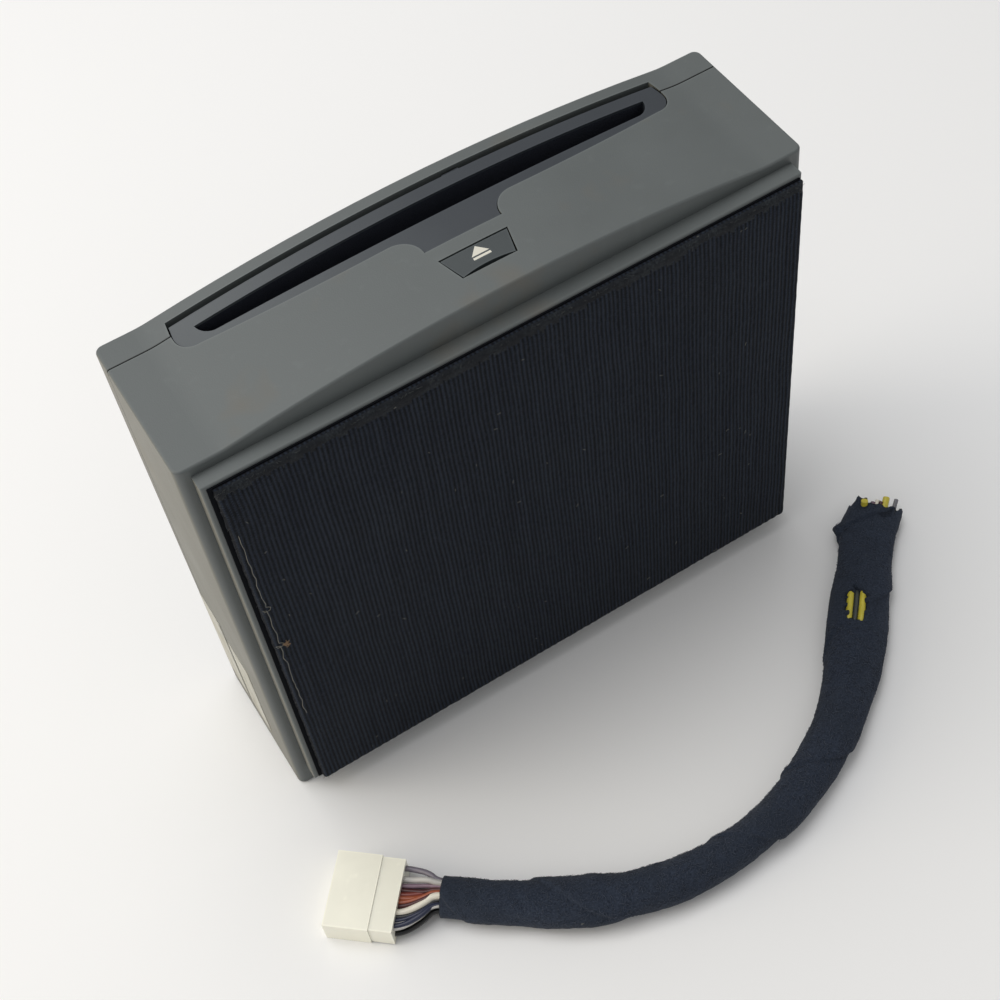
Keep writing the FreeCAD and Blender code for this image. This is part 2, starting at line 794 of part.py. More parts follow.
def lower_shell():
    body = case_body("lower_shell")
    extrude(body, "YZ", [upper_region(S["seam_gap"])], -HALF - BEYOND, HALF + BEYOND, away=True)
    extrude(body, "XZ", [face_profile(S["wall"])], Y_UNDER + S["wall"], Y_TOP + BEYOND, away=True)
    side = HALF - S["plateau_inset"]
    rear, front = S["plateau_rear_gap"], Z_WING - S["plateau_front_gap"]
    extrude(body, "XZ", [rectangle((-side, side), (rear, front))], Y_PLATEAU, Y_UNDER)

    def plateau_rim(edge):
        return near(edge.BoundBox.YMax, Y_PLATEAU)

    rounded(body, S["plateau_edge_radius"], plateau_rim)
    inner = side - S["wall"]
    extrude(body, "XZ", [rectangle((-inner, inner), (rear + S["wall"], front - S["wall"]))],
            Y_FLOOR, Y_UNDER + S["wall"] * 2, away=True)
    for spots, top, radius in (
        (case_posts(), POST_TOP, S["post_radius"] + S["post_wall"] / 2),
        (deck_posts(), Y_DECK_UNDER, S["post_radius"]),
        (board_posts(), Y_BOARD - S["board_thickness"], S["post_radius"]),
    ):
        extrude(body, "XZ", [("circle", x, z, radius) for x, z in spots], Y_FLOOR - S["wall"] / 2, top)
    wells = [("circle", x, z, S["screw_head_radius"] + S["screw_hole_clearance"]) for x, z in case_posts()]
    extrude(body, "XZ", wells, Y_PLATEAU - BEYOND, POST_SEAT, away=True)
    ways = [("circle", x, z, S["screw_radius"] + S["screw_hole_clearance"]) for x, z in case_posts()]
    extrude(body, "XZ", ways, POST_SEAT, POST_TOP + BEYOND / 2, away=True)
    for spots, top in ((deck_posts(), Y_DECK_UNDER), (board_posts(), Y_BOARD - S["board_thickness"])):
        holes = [("circle", x, z, S["screw_radius"]) for x, z in spots]
        extrude(body, "XZ", holes, Y_FLOOR + S["wall"], top + S["wall"], away=True)
    extrude(body, "XY", [insert_outline(S["insert_clearance"], S["insert_back_gap"])],
            Z_INSERT_BACK, Z_CROWN + BEYOND, away=True)
    extrude(body, "XY", [key_outline(S["key_gap"], bowed=False)], Z_INNER, Z_CROWN + BEYOND, away=True)
    posts = [("circle", x, y, S["switch_post_radius"]) for x, y in switch_spots()]
    extrude(body, "XY", posts, Z_SWITCH_BOARD, Z_CROWN - S["wall"] / 2)
    screw_ways = [("circle", x, y, S["screw_radius"]) for x, y in switch_spots()]
    extrude(body, "XY", screw_ways, Z_SWITCH_BOARD - S["wall"], Z_SWITCH_BOARD + S["wall"] * 3, away=True)
    gap = S["insert_clearance"]
    mouth = rectangle((-SOCKET_HALF_X - gap, SOCKET_HALF_X + gap),
                      (SOCKET_Y - SOCKET_HALF_Y - gap, SOCKET_Y + SOCKET_HALF_Y + gap))
    extrude(body, "XY", [mouth], -BEYOND + ZERO, S["wall"] * 2, away=True)
    return body


def face_cutter(name, sink):
    """Everything in front of the case's bulged face, sunk a little into it."""
    front = Z_CROWN + BEYOND
    body = new_body(name)
    side = HALF + BEYOND
    arc_end = BULGE_HALF
    profile = [
        (-side, Z_WING - sink),
        (-arc_end, Z_WING - sink, FACE_RADIUS, 1),
        (arc_end, Z_WING - sink),
        (side, Z_WING - sink),
        (side, front),
        (-side, front),
    ]
    extrude(body, "XZ", [profile], Y_PAD - BEYOND, Y_TOP + BEYOND)
    return body


def slot_room():
    """The room behind the insert's lip, which the felt lining fills around the slot."""
    body = new_body("slot_room_blank")
    extrude(body, "XY", [mouth_outline(S["felt_thickness"])], Z_INSERT_BACK, Z_CROWN + BEYOND / 2)
    return cut("slot_room", body, face_cutter("room_face", S["insert_sink"] + S["lip_thickness"]))


def slot_insert():
    body = new_body("slot_insert_blank")
    extrude(body, "XY", [insert_outline(ZERO, ZERO)], Z_INSERT_BACK, Z_CROWN + BEYOND / 2)
    extrude(body, "XY", [mouth_outline(ZERO)], Z_INSERT_BACK, Z_CROWN + BEYOND, away=True)
    back = Y_TOP - S["insert_back_drop"]
    catch_left = S["key_offset"] + S["tab_half"] - S["catch_width"]
    catch = rectangle((catch_left, catch_left + S["catch_width"]), (back, back + S["catch_height"]))
    extrude(body, "XY", [catch], Z_INSERT_BACK, Z_CROWN - S["catch_sink"])
    hollow = cut("slot_insert_hollow", body, SLOT_ROOM)
    return cut("slot_insert_piece", hollow, face_cutter("insert_face", S["insert_sink"]))


def slot_felts():
    """The felt that lines the slot, and two curtains behind it that leave a gap for the disc."""
    way = new_body("slot_way")
    extrude(way, "XY", [mouth_outline(ZERO)], Z_INSERT_BACK - S["wall"], Z_CROWN + BEYOND)
    lining = cut("slot_lining", SLOT_ROOM, way)
    half = SLOT_HALF - S["slot_end_inset"]
    span = (Z_INSERT_BACK - S["felt_thickness"], Z_INSERT_BACK)
    low, high = Y_DISC - S["felt_opening"] / 2, Y_DISC + S["felt_opening"] / 2
    return group(
        "slot_felts_set",
        lining,
        block("felt_low", (-half, half), (low - S["felt_width"], low), span),
        block("felt_high", (-half, half), (high, high + S["felt_width"]), span),
    )


def symbol_outlines():
    """The eject mark: a triangle over a bar."""
    half = S["symbol_width"] / 2
    tip = Y_TOP - S["key_top_drop"] - S["symbol_top"]
    foot = tip - S["symbol_height"]
    bar_top = foot - S["symbol_gap"]
    middle = S["key_offset"]
    triangle = [(middle, tip), (middle - half, foot), (middle + half, foot)]
    return [triangle, rectangle((middle - half, middle + half), (bar_top - S["symbol_bar"], bar_top))]


def eject_key():
    body = new_body("eject_key_blank")
    extrude(body, "XY", [key_outline(ZERO)], Z_KEY_BACK, Z_CROWN + BEYOND / 2)
    flange_front = Z_KEY_BACK + S["key_flange_thickness"]
    extrude(body, "XY", [key_outline(S["key_flange"])], Z_KEY_BACK, flange_front)
    extrude(body, "XY", [("circle", S["key_offset"], SWITCH_Y, S["key_stem_radius"])], Z_PLUNGER, Z_KEY_BACK)
    symbol_low = Z_CROWN - S["key_sink"] - S["symbol_depth"]
    extrude(body, "XY", symbol_outlines(), symbol_low, Z_CROWN + BEYOND, away=True)
    return cut("eject_key_piece", body, face_cutter("key_face", S["key_sink"]))


def eject_symbol():
    body = new_body("eject_symbol_blank")
    extrude(body, "XY", symbol_outlines(), Z_CROWN - S["key_sink"] - S["symbol_depth"], Z_CROWN + BEYOND / 2)
    return cut("eject_symbol_piece", body, face_cutter("symbol_face", S["key_sink"]))


def hook_pad_layers():
    side = HALF - S["plateau_inset"]
    rear, front = S["plateau_rear_gap"], Z_WING - S["plateau_front_gap"]
    margin = S["pad_side_margin"]
    film = block("hook_film_block", (-side + margin - S["film_margin"], side - S["film_margin"]),
                 (Y_FILM, Y_PLATEAU), (rear + S["film_margin"], front - S["film_margin"]))
    pad = block("hook_pad_block", (-side + margin, side - S["pad_rear_margin"]),
                (Y_PAD, Y_FILM), (rear + S["pad_rear_margin"], front - S["pad_front_margin"]))
    return film, pad


def side_label(name, y, z):
    return block(name + "_block", (-HALF - S["label_thickness"], -HALF), y, z)


def screws(name, spots, axis, seat, length, along):
    """Screws with round heads on their seats; along is 1 where the shank points up the axis."""
    pieces = []
    for number, spot in enumerate(spots):
        at = dict(zip([letter for letter in "xyz" if letter != axis], spot))
        head = (seat - S["screw_head_height"], seat) if along > 0 else (seat, seat + S["screw_head_height"])
        shank = (seat, seat + length) if along > 0 else (seat - length, seat)
        parts = [
            rod("%s_head%d" % (name, number), axis, S["screw_head_radius"], head, **at),
            rod("%s_shank%d" % (name, number), axis, S["screw_radius"], shank, **at),
        ]
        pieces.append(fuse("%s_screw%d" % (name, number), *parts))
    return group(name + "_set", *pieces)


def inner_screws():
    """The short screws of the deck, the main board and the switch board, all of one kind."""
    length = S["inner_screw_length"]
    return group(
        "inner_screws_all",
        screws("deck", deck_posts(), "y", Y_DECK_FLOOR, length, -1),
        screws("board", board_posts(), "y", Y_BOARD, length, -1),
        screws("switch", switch_spots(), "z", Z_SWITCH_BOARD - S["switch_board_thickness"], length, 1),
    )


def switch_spots():
    """The places of the switch board's two screws, at both sides of the key."""
    return [(S["key_offset"] + side * S["switch_post_place"], SWITCH_Y) for side in (-1, 1)]


def right_left(inner, outer):
    return ((-outer, -inner), (inner, outer))


# The feed roller's train on the deck's left wall: height and place of each axle
R_ROLLER_GEAR = S["gear_module"] * S["roller_gear_teeth"] / 2
R_BIG = S["gear_module"] * S["big_teeth"] / 2
R_SMALL = S["gear_module"] * S["pinion_teeth"] / 2
LAST_CENTRES = R_ROLLER_GEAR + R_SMALL
CENTRES = R_BIG + R_SMALL
Y_GEAR_TWO = place("y_gear_two", Y_ROLLER - S["train_lift"])
LAST_STEP = root(LAST_CENTRES * LAST_CENTRES - S["train_lift"] * S["train_lift"])
Z_GEAR_TWO = place("z_gear_two", Z_ROLLER - LAST_STEP)
STEP = root(CENTRES * CENTRES - S["train_rise"] * S["train_rise"])
Y_GEAR_ONE = place("y_gear_one", Y_GEAR_TWO + S["train_rise"])
Z_GEAR_ONE = place("z_gear_one", Z_GEAR_TWO - STEP)
Y_PINION = place("y_pinion", Y_GEAR_ONE - S["train_rise"])
Z_PINION = place("z_pinion", Z_GEAR_ONE - STEP)
X_LAYER_ONE = place("x_layer_one", -DECK_HALF - S["gear_wall_gap"])
LAYER_STEP = S["gear_width"] + S["gear_gap"]
X_LAYER_TWO = place("x_layer_two", X_LAYER_ONE - LAYER_STEP)
X_LAYER_THREE = place("x_layer_three", X_LAYER_TWO - LAYER_STEP)
X_WALL_IN = place("x_wall_in", DECK_HALF - S["sheet_steel"])

Y_ARM_AXIS = place("y_arm_axis", Y_ARM - S["arm_thickness"] / 2)
X_CAM = place("x_cam", DECK_HALF + S["cam_gap"])
X_CAM_OUT = place("x_cam_out", X_CAM + S["cam_thickness"])
Y_SLED = place("y_sled", Y_TRAVERSE + S["sled_floor_gap"])
Y_SLED_TOP = place("y_sled_top", Y_SLED + S["sled_thickness"])
Y_SEAT = place("y_seat", Y_DISC_LOW - S["ring_thickness"])
Y_MOTOR_TOP = place("y_motor_top", Y_SEAT - S["turntable_thickness"] - S["motor_gap"])


def deck_chassis():
    """A bent sheet tray: floor, two side walls and four ears."""
    body = new_body("deck_chassis")
    half, rear, front = DECK_HALF, DECK_REAR, DECK_FRONT
    extrude(body, "XZ", [rectangle((-half, half), (rear, front))], Y_DECK_UNDER, Y_DECK_FLOOR)
    for height in DECK_POST_ROWS:
        span = (height - S["deck_ear_width"] / 2, height + S["deck_ear_width"] / 2)
        for x in right_left(half - S["wall"], DECK_POST_X + S["deck_ear_end"]):
            extrude(body, "XZ", [rectangle(x, span)], Y_DECK_UNDER, Y_DECK_FLOOR)
    for x in right_left(X_WALL_IN, half):
        extrude(body, "YZ", [rectangle((Y_DECK_UNDER, Y_PLATE), (rear, front))], *x)
    holes = [("circle", x, z, S["screw_radius"] + S["screw_hole_clearance"]) for x, z in deck_posts()]
    extrude(body, "XZ", holes, Y_DECK_UNDER - S["wall"], Y_DECK_FLOOR + S["wall"], away=True)
    bushes = ("circle", Y_ROLLER, Z_ROLLER, S["bush_radius"])
    extrude(body, "YZ", [bushes], -half - BEYOND, half + BEYOND, away=True)
    room = S["window_clearance"]
    motor = S["loading_motor_radius"] + room
    motor_end = -X_WALL_IN + S["loading_motor_length"] + room
    extrude(body, "XZ", [rectangle((-X_WALL_IN, motor_end), (Z_PINION - motor, Z_PINION + motor))],
            Y_DECK_UNDER - room, Y_DECK_FLOOR, away=True)
    extrude(body, "YZ", [("circle", Y_PINION, Z_PINION, S["loading_motor_radius"] / 2)],
            -half - BEYOND, -half + BEYOND, away=True)
    axles = ((Y_GEAR_ONE, Z_GEAR_ONE), (Y_GEAR_TWO, Z_GEAR_TWO))
    pins = [("circle", y, z, S["gear_pin_radius"]) for y, z in axles]
    extrude(body, "YZ", pins, -half - BEYOND, -half + BEYOND, away=True)
    finger = S["arm_pin_radius"] + room
    drop = S["arm_finger_width"] / 2
    window = rectangle((Y_ARM_AXIS - finger - drop, Y_ARM_AXIS + finger - S["cam_gap"]),
                       (Z_ARM_FINGER - finger, Z_ARM_FINGER + finger))
    extrude(body, "YZ", [window], half - BEYOND, half + BEYOND, away=True)
    rivets = [("circle", y, z, S["cam_rivet_radius"]) for y, z in CAM_RIVETS]
    extrude(body, "YZ", rivets, half - BEYOND, half + BEYOND, away=True)
    return body


CAM_RIVETS = [
    (Y_DECK_FLOOR + S["cam_rivet_rise"], CAM_REAR + S["cam_rivet_inset"] + S["cam_travel"]),
    (Y_DECK_FLOOR + S["cam_rivet_rise"], CAM_FRONT - S["cam_rivet_inset"]),
]


def top_plate():
    """The cover sheet of the deck, with an opening for the clamp and two ears for its hinge pin."""
    body = new_body("top_plate")
    half = DECK_HALF
    top = Y_PLATE + S["sheet_steel"]
    front = Z_ROLLER + S["guide_width"] / 2 + S["bush_play"]
    extrude(body, "XZ", [rectangle((-half, half), (DECK_REAR, front))], Y_PLATE, top)
    opening_half = S["hinge_half"] - S["holder_length"] * 2
    opening = rectangle((-opening_half, opening_half), (DECK_REAR + S["wall"], ARM_FRONT + S["wall"]))
    extrude(body, "XZ", [opening], Y_PLATE - S["wall"], top, away=True)
    ear = S["holder_half"]
    ear_low = Y_ARM_AXIS - S["barrel_radius"]
    for x in right_left(opening_half + S["window_clearance"], opening_half + S["holder_length"]):
        extrude(body, "YZ", [rectangle((ear_low, Y_PLATE), (ARM_REAR - ear, ARM_REAR + ear))], *x)
    extrude(body, "YZ", [("circle", Y_ARM_AXIS, ARM_REAR, S["hinge_pin_radius"])], -half, half, away=True)
    return body


def disc_guide():
    """The moulded rail over the feed roller, with a lead-in for the disc's edge."""
    body = new_body("disc_guide")
    low = Y_DISC_HIGH + S["guide_gap"]
    rear, front = Z_ROLLER - S["guide_width"] / 2, Z_ROLLER + S["guide_width"] / 2
    lead = S["guide_width"] / 4
    profile = [
        (low, rear + lead),
        (low + lead, rear),
        (Y_PLATE, rear),
        (Y_PLATE, front),
        (low + lead, front),
        (low, front - lead),
    ]
    extrude(body, "YZ", [profile], -X_WALL_IN + S["sheet_steel"], X_WALL_IN - S["sheet_steel"])
    return body


def hinge_pin():
    return rod("hinge_pin_rod", "x", S["hinge_pin_radius"], (-S["hinge_half"], S["hinge_half"]),
               y=Y_ARM_AXIS, z=ARM_REAR)


def clamp_arm():
    """A moulded arm with hinge barrels at its rear and a finger that ends in the cam pin."""
    body = new_body("clamp_arm_blank")
    half, low = S["arm_half"], Y_ARM - S["arm_thickness"]
    extrude(body, "XZ", [rectangle((-half, half), (ARM_REAR, ARM_FRONT))], low, Y_ARM)
    finger = S["arm_finger_width"] / 2
    finger_end = X_WALL_IN - S["window_clearance"]
    finger_span = (Z_ARM_FINGER - finger, Z_ARM_FINGER + finger)
    extrude(body, "XZ", [rectangle((half - S["wall"], finger_end), finger_span)], low, Y_ARM)
    barrel_half = S["hinge_half"] - S["holder_length"] * 2
    extrude(body, "YZ", [("circle", Y_ARM_AXIS, ARM_REAR, S["barrel_radius"])], -barrel_half, barrel_half)
    extrude(body, "YZ", [("circle", Y_ARM_AXIS, Z_ARM_FINGER, S["arm_pin_radius"])],
            finger_end - S["arm_finger_width"], X_CAM_OUT + S["cam_gap"])
    extrude(body, "YZ", [("circle", Y_ARM_AXIS, ARM_REAR, S["hinge_pin_radius"] + S["shaft_clearance"])],
            -HALF, HALF, away=True)
    hole = S["clamper_neck_radius"] + S["clamper_play"]
    extrude(body, "XZ", [("circle", ZERO, Z_SPINDLE, hole)], low - S["wall"], Y_ARM + S["wall"], away=True)
    return body


def clamper():
    """The free-turning puck: pad under the arm, neck through it, flange on top."""
    play = S["clamper_play"]
    pad_low = Y_DISC_HIGH + S["clamper_lift"]
    pad_high = pad_low + S["clamper_pad_thickness"]
    neck_top = Y_ARM + play
    at = dict(x=ZERO, z=Z_SPINDLE)
    whole = fuse(
        "clamper_whole",
        rod("clamper_pad", "y", S["clamper_radius"], (pad_low, pad_high), **at),
        rod("clamper_neck", "y", S["clamper_neck_radius"], (pad_low, neck_top), **at),
        rod("clamper_flange", "y", S["clamper_flange_radius"],
            (neck_top, neck_top + S["clamper_flange_thickness"]), **at),
    )
    recess = rod("clamper_recess", "y", S["hub_radius"] + S["clamper_play"] * 2,
                 (pad_low - S["clamper_pad_thickness"], pad_high + S["arm_thickness"]), **at)
    return cut("clamper_piece", whole, recess)


def slot_outline(start, end, radius):
    """A round-ended slot between two centres, each (across, up)."""
    across, up = end[0] - start[0], end[1] - start[1]
    length = root(across * across + up * up)
    along_a, along_u = across / length * radius, up / length * radius
    return [
        (start[0] + along_u, start[1] - along_a),
        (end[0] + along_u, end[1] - along_a, radius, -1),
        (end[0] + along_a, end[1] + along_u, radius, -1),
        (end[0] - along_u, end[1] + along_a),
        (start[0] - along_u, start[1] + along_a, radius, -1),
        (start[0] - along_a, start[1] - along_u, radius, -1),
    ]


def cam_slider():
    body = new_body("cam_slider")
    profile = rectangle((Y_DECK_FLOOR + S["cam_rise"], Y_PLATE), (CAM_REAR, CAM_FRONT))
    extrude(body, "YZ", [profile], X_CAM, X_CAM_OUT)
    travel = S["cam_travel"]
    rise = Z_ARM_FINGER - ARM_REAR
    drop = rise * Size("sin(Sizes.clamp_angle)", math.sin(math.radians(float(S["clamp_angle"]))))
    slope = drop / travel
    run = S["cam_slot_play"] * 4
    grown = S["arm_pin_radius"] + S["cam_slot_play"] * Size("0.75", 0.75)
    slot = slot_outline((Y_ARM_AXIS - drop - slope * run, Z_ARM_FINGER - travel - run),
                        (Y_ARM_AXIS + slope * run, Z_ARM_FINGER + run), grown)
    guides = []
    guide_radius = S["cam_rivet_radius"] + S["cam_slot_play"] / 2
    for y, z in CAM_RIVETS:
        guides.append(slot_outline((y, z - travel - run), (y, z + run), guide_radius))
    extrude(body, "YZ", [slot] + guides, X_CAM - S["wall"], X_CAM_OUT + S["wall"], away=True)
    return body


def cam_rivets():
    pieces = []
    for number, (y, z) in enumerate(CAM_RIVETS):
        shank = rod("rivet_shank%d" % number, "x", S["cam_rivet_radius"],
                    (X_WALL_IN, X_CAM_OUT + S["cam_gap"]), y=y, z=z)
        head = rod("rivet_head%d" % number, "x", S["cam_rivet_head"],
                   (X_CAM_OUT + S["cam_gap"], X_CAM_OUT + S["cam_gap"] + S["sheet_steel"]), y=y, z=z)
        pieces.append(fuse("rivet%d" % number, shank, head))
    return group("cam_rivets_pair", *pieces)


RODS = (-S["rod_place"], S["rod_place"])


def traverse_plate():
    """The floating plate of the playing unit: rod holders, motor seat and the pickup's window."""
    body = new_body("traverse_plate")
    half = S["traverse_half"]
    low = Y_TRAVERSE - S["traverse_thickness"]
    extrude(body, "XZ", [rectangle((-half, half), (DECK_REAR, TRAVERSE_FRONT))], low, Y_TRAVERSE)
    keel, room = S["sled_keel_half"], S["window_clearance"]
    keel_reach = S["sled_keel_length"] / 2 + room
    window_span = (Z_LENS - S["sled_travel"] - keel_reach, Z_LENS + keel_reach)
    window = rectangle((-keel - room, keel + room), window_span)
    extrude(body, "XZ", [window], low - room, Y_TRAVERSE, away=True)
    holder_top = Y_ROD + S["rod_radius"] + S["sheet_steel"]
    side, wide = S["holder_half"], S["screw_place"] + S["holder_half"]
    for start in (HOLDER_REAR, HOLDER_FRONT - S["holder_length"]):
        span = (start, start + S["holder_length"])
        spots = [rectangle((-S["rod_place"] - side, -S["rod_place"] + side), span),
                 rectangle((S["rod_place"] - side, wide), span)]
        extrude(body, "XZ", spots, low, holder_top)
    rods = [("circle", x, Y_ROD, S["rod_radius"]) for x in RODS]
    span = (HOLDER_REAR - room, HOLDER_FRONT + room)
    extrude(body, "XY", rods, *span, away=True)
    screw_way = ("circle", S["screw_place"], Y_ROD, S["rod_radius"] + S["shaft_clearance"])
    extrude(body, "XY", [screw_way], *span, away=True)
    holes = [("circle", x, z, S["screw_radius"]) for x, z in damper_spots()]
    extrude(body, "XZ", holes, low - room, Y_TRAVERSE + room, away=True)
    return body


def damper_spots():
    inset = S["damper_radius"]
    side = S["traverse_half"] - inset
    near_rear = DECK_REAR + inset * 2 + S["holder_length"]
    return [(x, z) for x in (-side, side) for z in (near_rear, TRAVERSE_FRONT - inset)]


def dampers():
    span = (Y_DECK_FLOOR, Y_TRAVERSE - S["traverse_thickness"])
    rings = [tube("damper%d" % number, "y", S["damper_radius"], S["screw_radius"], span, x=x, z=z)
             for number, (x, z) in enumerate(damper_spots())]
    return group("dampers_set", *rings)


def guide_rods():
    span = (HOLDER_REAR, HOLDER_FRONT)
    return group("guide_rods_pair", *[rod("guide_rod%d" % number, "z", S["rod_radius"], span, x=x, y=Y_ROD)
                                      for number, x in enumerate(RODS)])


def pickup_sled():
    body = new_body("pickup_sled")
    span = (Z_LENS - S["sled_length"] / 2, Z_LENS + S["sled_length"] / 2)
    extrude(body, "XZ", [rectangle((-S["sled_half"], S["sled_right"]), span)], Y_SLED, Y_SLED_TOP)
    keel = S["sled_keel_half"]
    keel_span = (Z_LENS - S["sled_keel_length"] / 2, Z_LENS + S["sled_keel_length"] / 2)
    extrude(body, "XZ", [rectangle((-keel, keel), keel_span)], Y_DECK_FLOOR + S["sled_keel_gap"], Y_SLED)
    through = (span[0] - S["wall"], span[1] + S["wall"])
    bores = [("circle", x, Y_ROD, S["rod_radius"] + S["rod_clearance"]) for x in RODS]
    bores.append(("circle", S["screw_place"], Y_ROD, S["rod_radius"] + S["nut_gap"] / 2))
    extrude(body, "XY", bores, *through, away=True)
    well = S["lens_holder_radius"] + S["cam_gap"]
    extrude(body, "XZ", [("circle", ZERO, Z_LENS, well)], Y_SLED, Y_SLED_TOP + S["wall"], away=True)
    return body


def lens_holder():
    top = Y_DISC_LOW - S["lens_gap"]
    at = dict(x=ZERO, z=Z_LENS)
    outer = rod("lens_holder_outer", "y", S["lens_holder_radius"], (Y_SLED, top), **at)
    seat = rod("lens_holder_seat", "y", S["lens_radius"], (top - S["lens_rise"] * 3, top + S["wall"]), **at)
    return cut("lens_holder_piece", outer, seat)


def lens():
    """A shallow dome of glass in the holder's seat."""
    top = Y_DISC_LOW - S["lens_gap"]
    base = top - S["lens_rise"] * 3
    at = dict(x=ZERO, z=Z_LENS)
    disc = rod("lens_disc", "y", S["lens_radius"], (base, top + S["lens_rise"]), **at)
    ball = doc.addObject("Part::Sphere", "lens_ball")
    radius = S["lens_radius"] * 2
    bind(ball, Radius=radius)
    move(ball, ZERO, top + S["lens_rise"] - radius, Z_LENS)
    return common("lens_piece", disc, ball)


def turntable():
    at = dict(x=ZERO, z=Z_SPINDLE)
    low = Y_MOTOR_TOP + S["motor_gap"]
    plate = rod("turntable_plate", "y", S["turntable_radius"], (low, Y_SEAT), **at)
    hub = doc.addObject("Part::Cone", "turntable_hub")
    hub.Placement.Rotation = TURNS["y"]
    bind(hub, Radius1=S["hub_radius"], Radius2=S["hub_radius"] - S["ring_thickness"],
         Height=S["ring_thickness"] + S["hub_height"])
    move(hub, ZERO, Y_SEAT, Z_SPINDLE)
    bore = rod("turntable_bore", "y", S["spindle_shaft_radius"], (low, Y_SEAT + BEYOND), **at)
    return cut("turntable_piece", fuse("turntable_whole", plate, hub), bore)


def turntable_ring():
    inner = S["turntable_radius"] - S["cam_gap"] - S["ring_width"]
    return tube("turntable_ring_tube", "y", S["turntable_radius"] - S["cam_gap"], inner, (Y_SEAT, Y_DISC_LOW),
                x=ZERO, z=Z_SPINDLE)


def spindle_shaft():
    low = Y_TRAVERSE + S["motor_gap"]
    return rod("spindle_shaft_rod", "y", S["spindle_shaft_radius"], (low, Y_DISC_LOW + S["hub_height"]),
               x=ZERO, z=Z_SPINDLE)


def spindle_motor():
    at = dict(x=ZERO, z=Z_SPINDLE)
    can = rod("spindle_motor_can", "y", S["spindle_motor_radius"], (Y_TRAVERSE, Y_MOTOR_TOP), **at)
    bore = rod("spindle_motor_bore", "y", S["spindle_shaft_radius"] + S["shaft_clearance"],
               (Y_TRAVERSE + S["motor_gap"], Y_MOTOR_TOP + S["wall"]), **at)
    return cut("spindle_motor_piece", can, bore)


def lead_screw():
    """The plain envelope of the fine screw, from the rear holder into the motor."""
    span = (HOLDER_REAR + S["shaft_clearance"], HOLDER_FRONT + S["sled_motor_length"] / 2)
    return rod("lead_screw_rod", "z", S["rod_radius"], span, x=S["screw_place"], y=Y_ROD)


def sled_motor():
    span = (HOLDER_FRONT, HOLDER_FRONT + S["sled_motor_length"])
    at = dict(x=S["screw_place"], y=Y_ROD)
    can = rod("sled_motor_can", "z", S["sled_motor_radius"], span, **at)
    bore = rod("sled_motor_bore", "z", S["rod_radius"] + S["shaft_clearance"],
               (span[0] - S["wall"], span[0] + S["sled_motor_length"] / 2 + S["shaft_clearance"]), **at)
    return cut("sled_motor_piece", can, bore)


def tapered(name, start, end, from_radius, to_radius):
    """One half of the feed roller, a cone along X."""
    cone = doc.addObject("Part::Cone", name)
    cone.Placement.Rotation = TURNS["x"]
    bind(cone, Radius1=from_radius, Radius2=to_radius, Height=end - start)
    move(cone, start, Y_ROLLER, Z_ROLLER)
    bore = rod(name + "_bore", "x", S["roller_shaft_radius"], (start - S["wall"], end + S["wall"]),
               y=Y_ROLLER, z=Z_ROLLER)
    return cut(name + "_piece", cone, bore)


def feed_roller():
    middle, end = S["roller_split"] / 2, DECK_HALF - S["roller_side_gap"]
    wide, narrow = S["roller_end_radius"], S["roller_mid_radius"]
    return group("feed_roller_halves", tapered("roller_left", -end, -middle, wide, narrow),
                 tapered("roller_right", middle, end, narrow, wide))


def roller_shaft():
    span = (X_LAYER_ONE - S["gear_width"] - S["gear_wall_gap"] / 2, DECK_HALF + S["gear_wall_gap"])
    return rod("roller_shaft_rod", "x", S["roller_shaft_radius"], span, y=Y_ROLLER, z=Z_ROLLER)


def roller_bushes():
    pieces = []
    inner = S["roller_shaft_radius"] + S["bush_play"]
    end = DECK_HALF + S["gear_wall_gap"] / 2
    for number, span in enumerate(right_left(end - S["bush_length"], end)):
        pieces.append(tube("bush%d" % number, "x", S["bush_radius"], inner, span, y=Y_ROLLER, z=Z_ROLLER))
    return group("roller_bushes_pair", *pieces)


def loading_motor():
    span = (-X_WALL_IN, -X_WALL_IN + S["loading_motor_length"])
    at = dict(y=Y_PINION, z=Z_PINION)
    can = rod("loading_motor_can", "x", S["loading_motor_radius"], span, **at)
    bore = rod("loading_motor_bore", "x", S["loading_shaft_radius"] + S["shaft_clearance"],
               (span[0] - S["wall"], span[0] + S["loading_motor_length"] / 2), **at)
    return cut("loading_motor_piece", can, bore)


def gear_outline(teeth, phase):
    """The outline of a small moulded gear: straight-sided teeth on a ring of root arcs, as points."""
    module = float(S["gear_module"])
    pitch_radius = module * teeth / 2
    tip, root_radius = pitch_radius + 0.8 * module, pitch_radius - 1.25 * module
    pitch = 360.0 / teeth
    tooth = 0.8 * pitch / 2
    rising = ((root_radius, -0.85), (pitch_radius, -0.5), (tip, -0.22))
    falling = ((tip, 0.22), (pitch_radius, 0.5), (root_radius, 0.85))
    points = []
    for number in range(teeth):
        for radius, share in rising + falling:
            angle = math.radians(phase + number * pitch + share * tooth)
            points.append(FreeCAD.Vector(0, radius * math.sin(angle), radius * math.cos(angle)))
    return points + points[:1]


def gear_solid(teeth, phase, x, y, z, bore):
    """A spur gear across one layer of the train, its outward face at x, with a bore."""
    width = float(S["gear_width"])
    face = Part.Face(Part.makePolygon(gear_outline(teeth, phase)))
    solid = face.extrude(FreeCAD.Vector(width, 0, 0))
    hole = Part.makeCylinder(bore, width, FreeCAD.Vector(0, 0, 0), FreeCAD.Vector(1, 0, 0))
    solid = solid.cut(hole)
    solid.translate(FreeCAD.Vector(float(x) - width, float(y), float(z)))
    return solid


def heading(start, end):
    """The direction from one axle to the next, in degrees from +Z towards +Y."""
    return math.degrees(math.atan2(float(end[0] - start[0]), float(end[1] - start[1])))


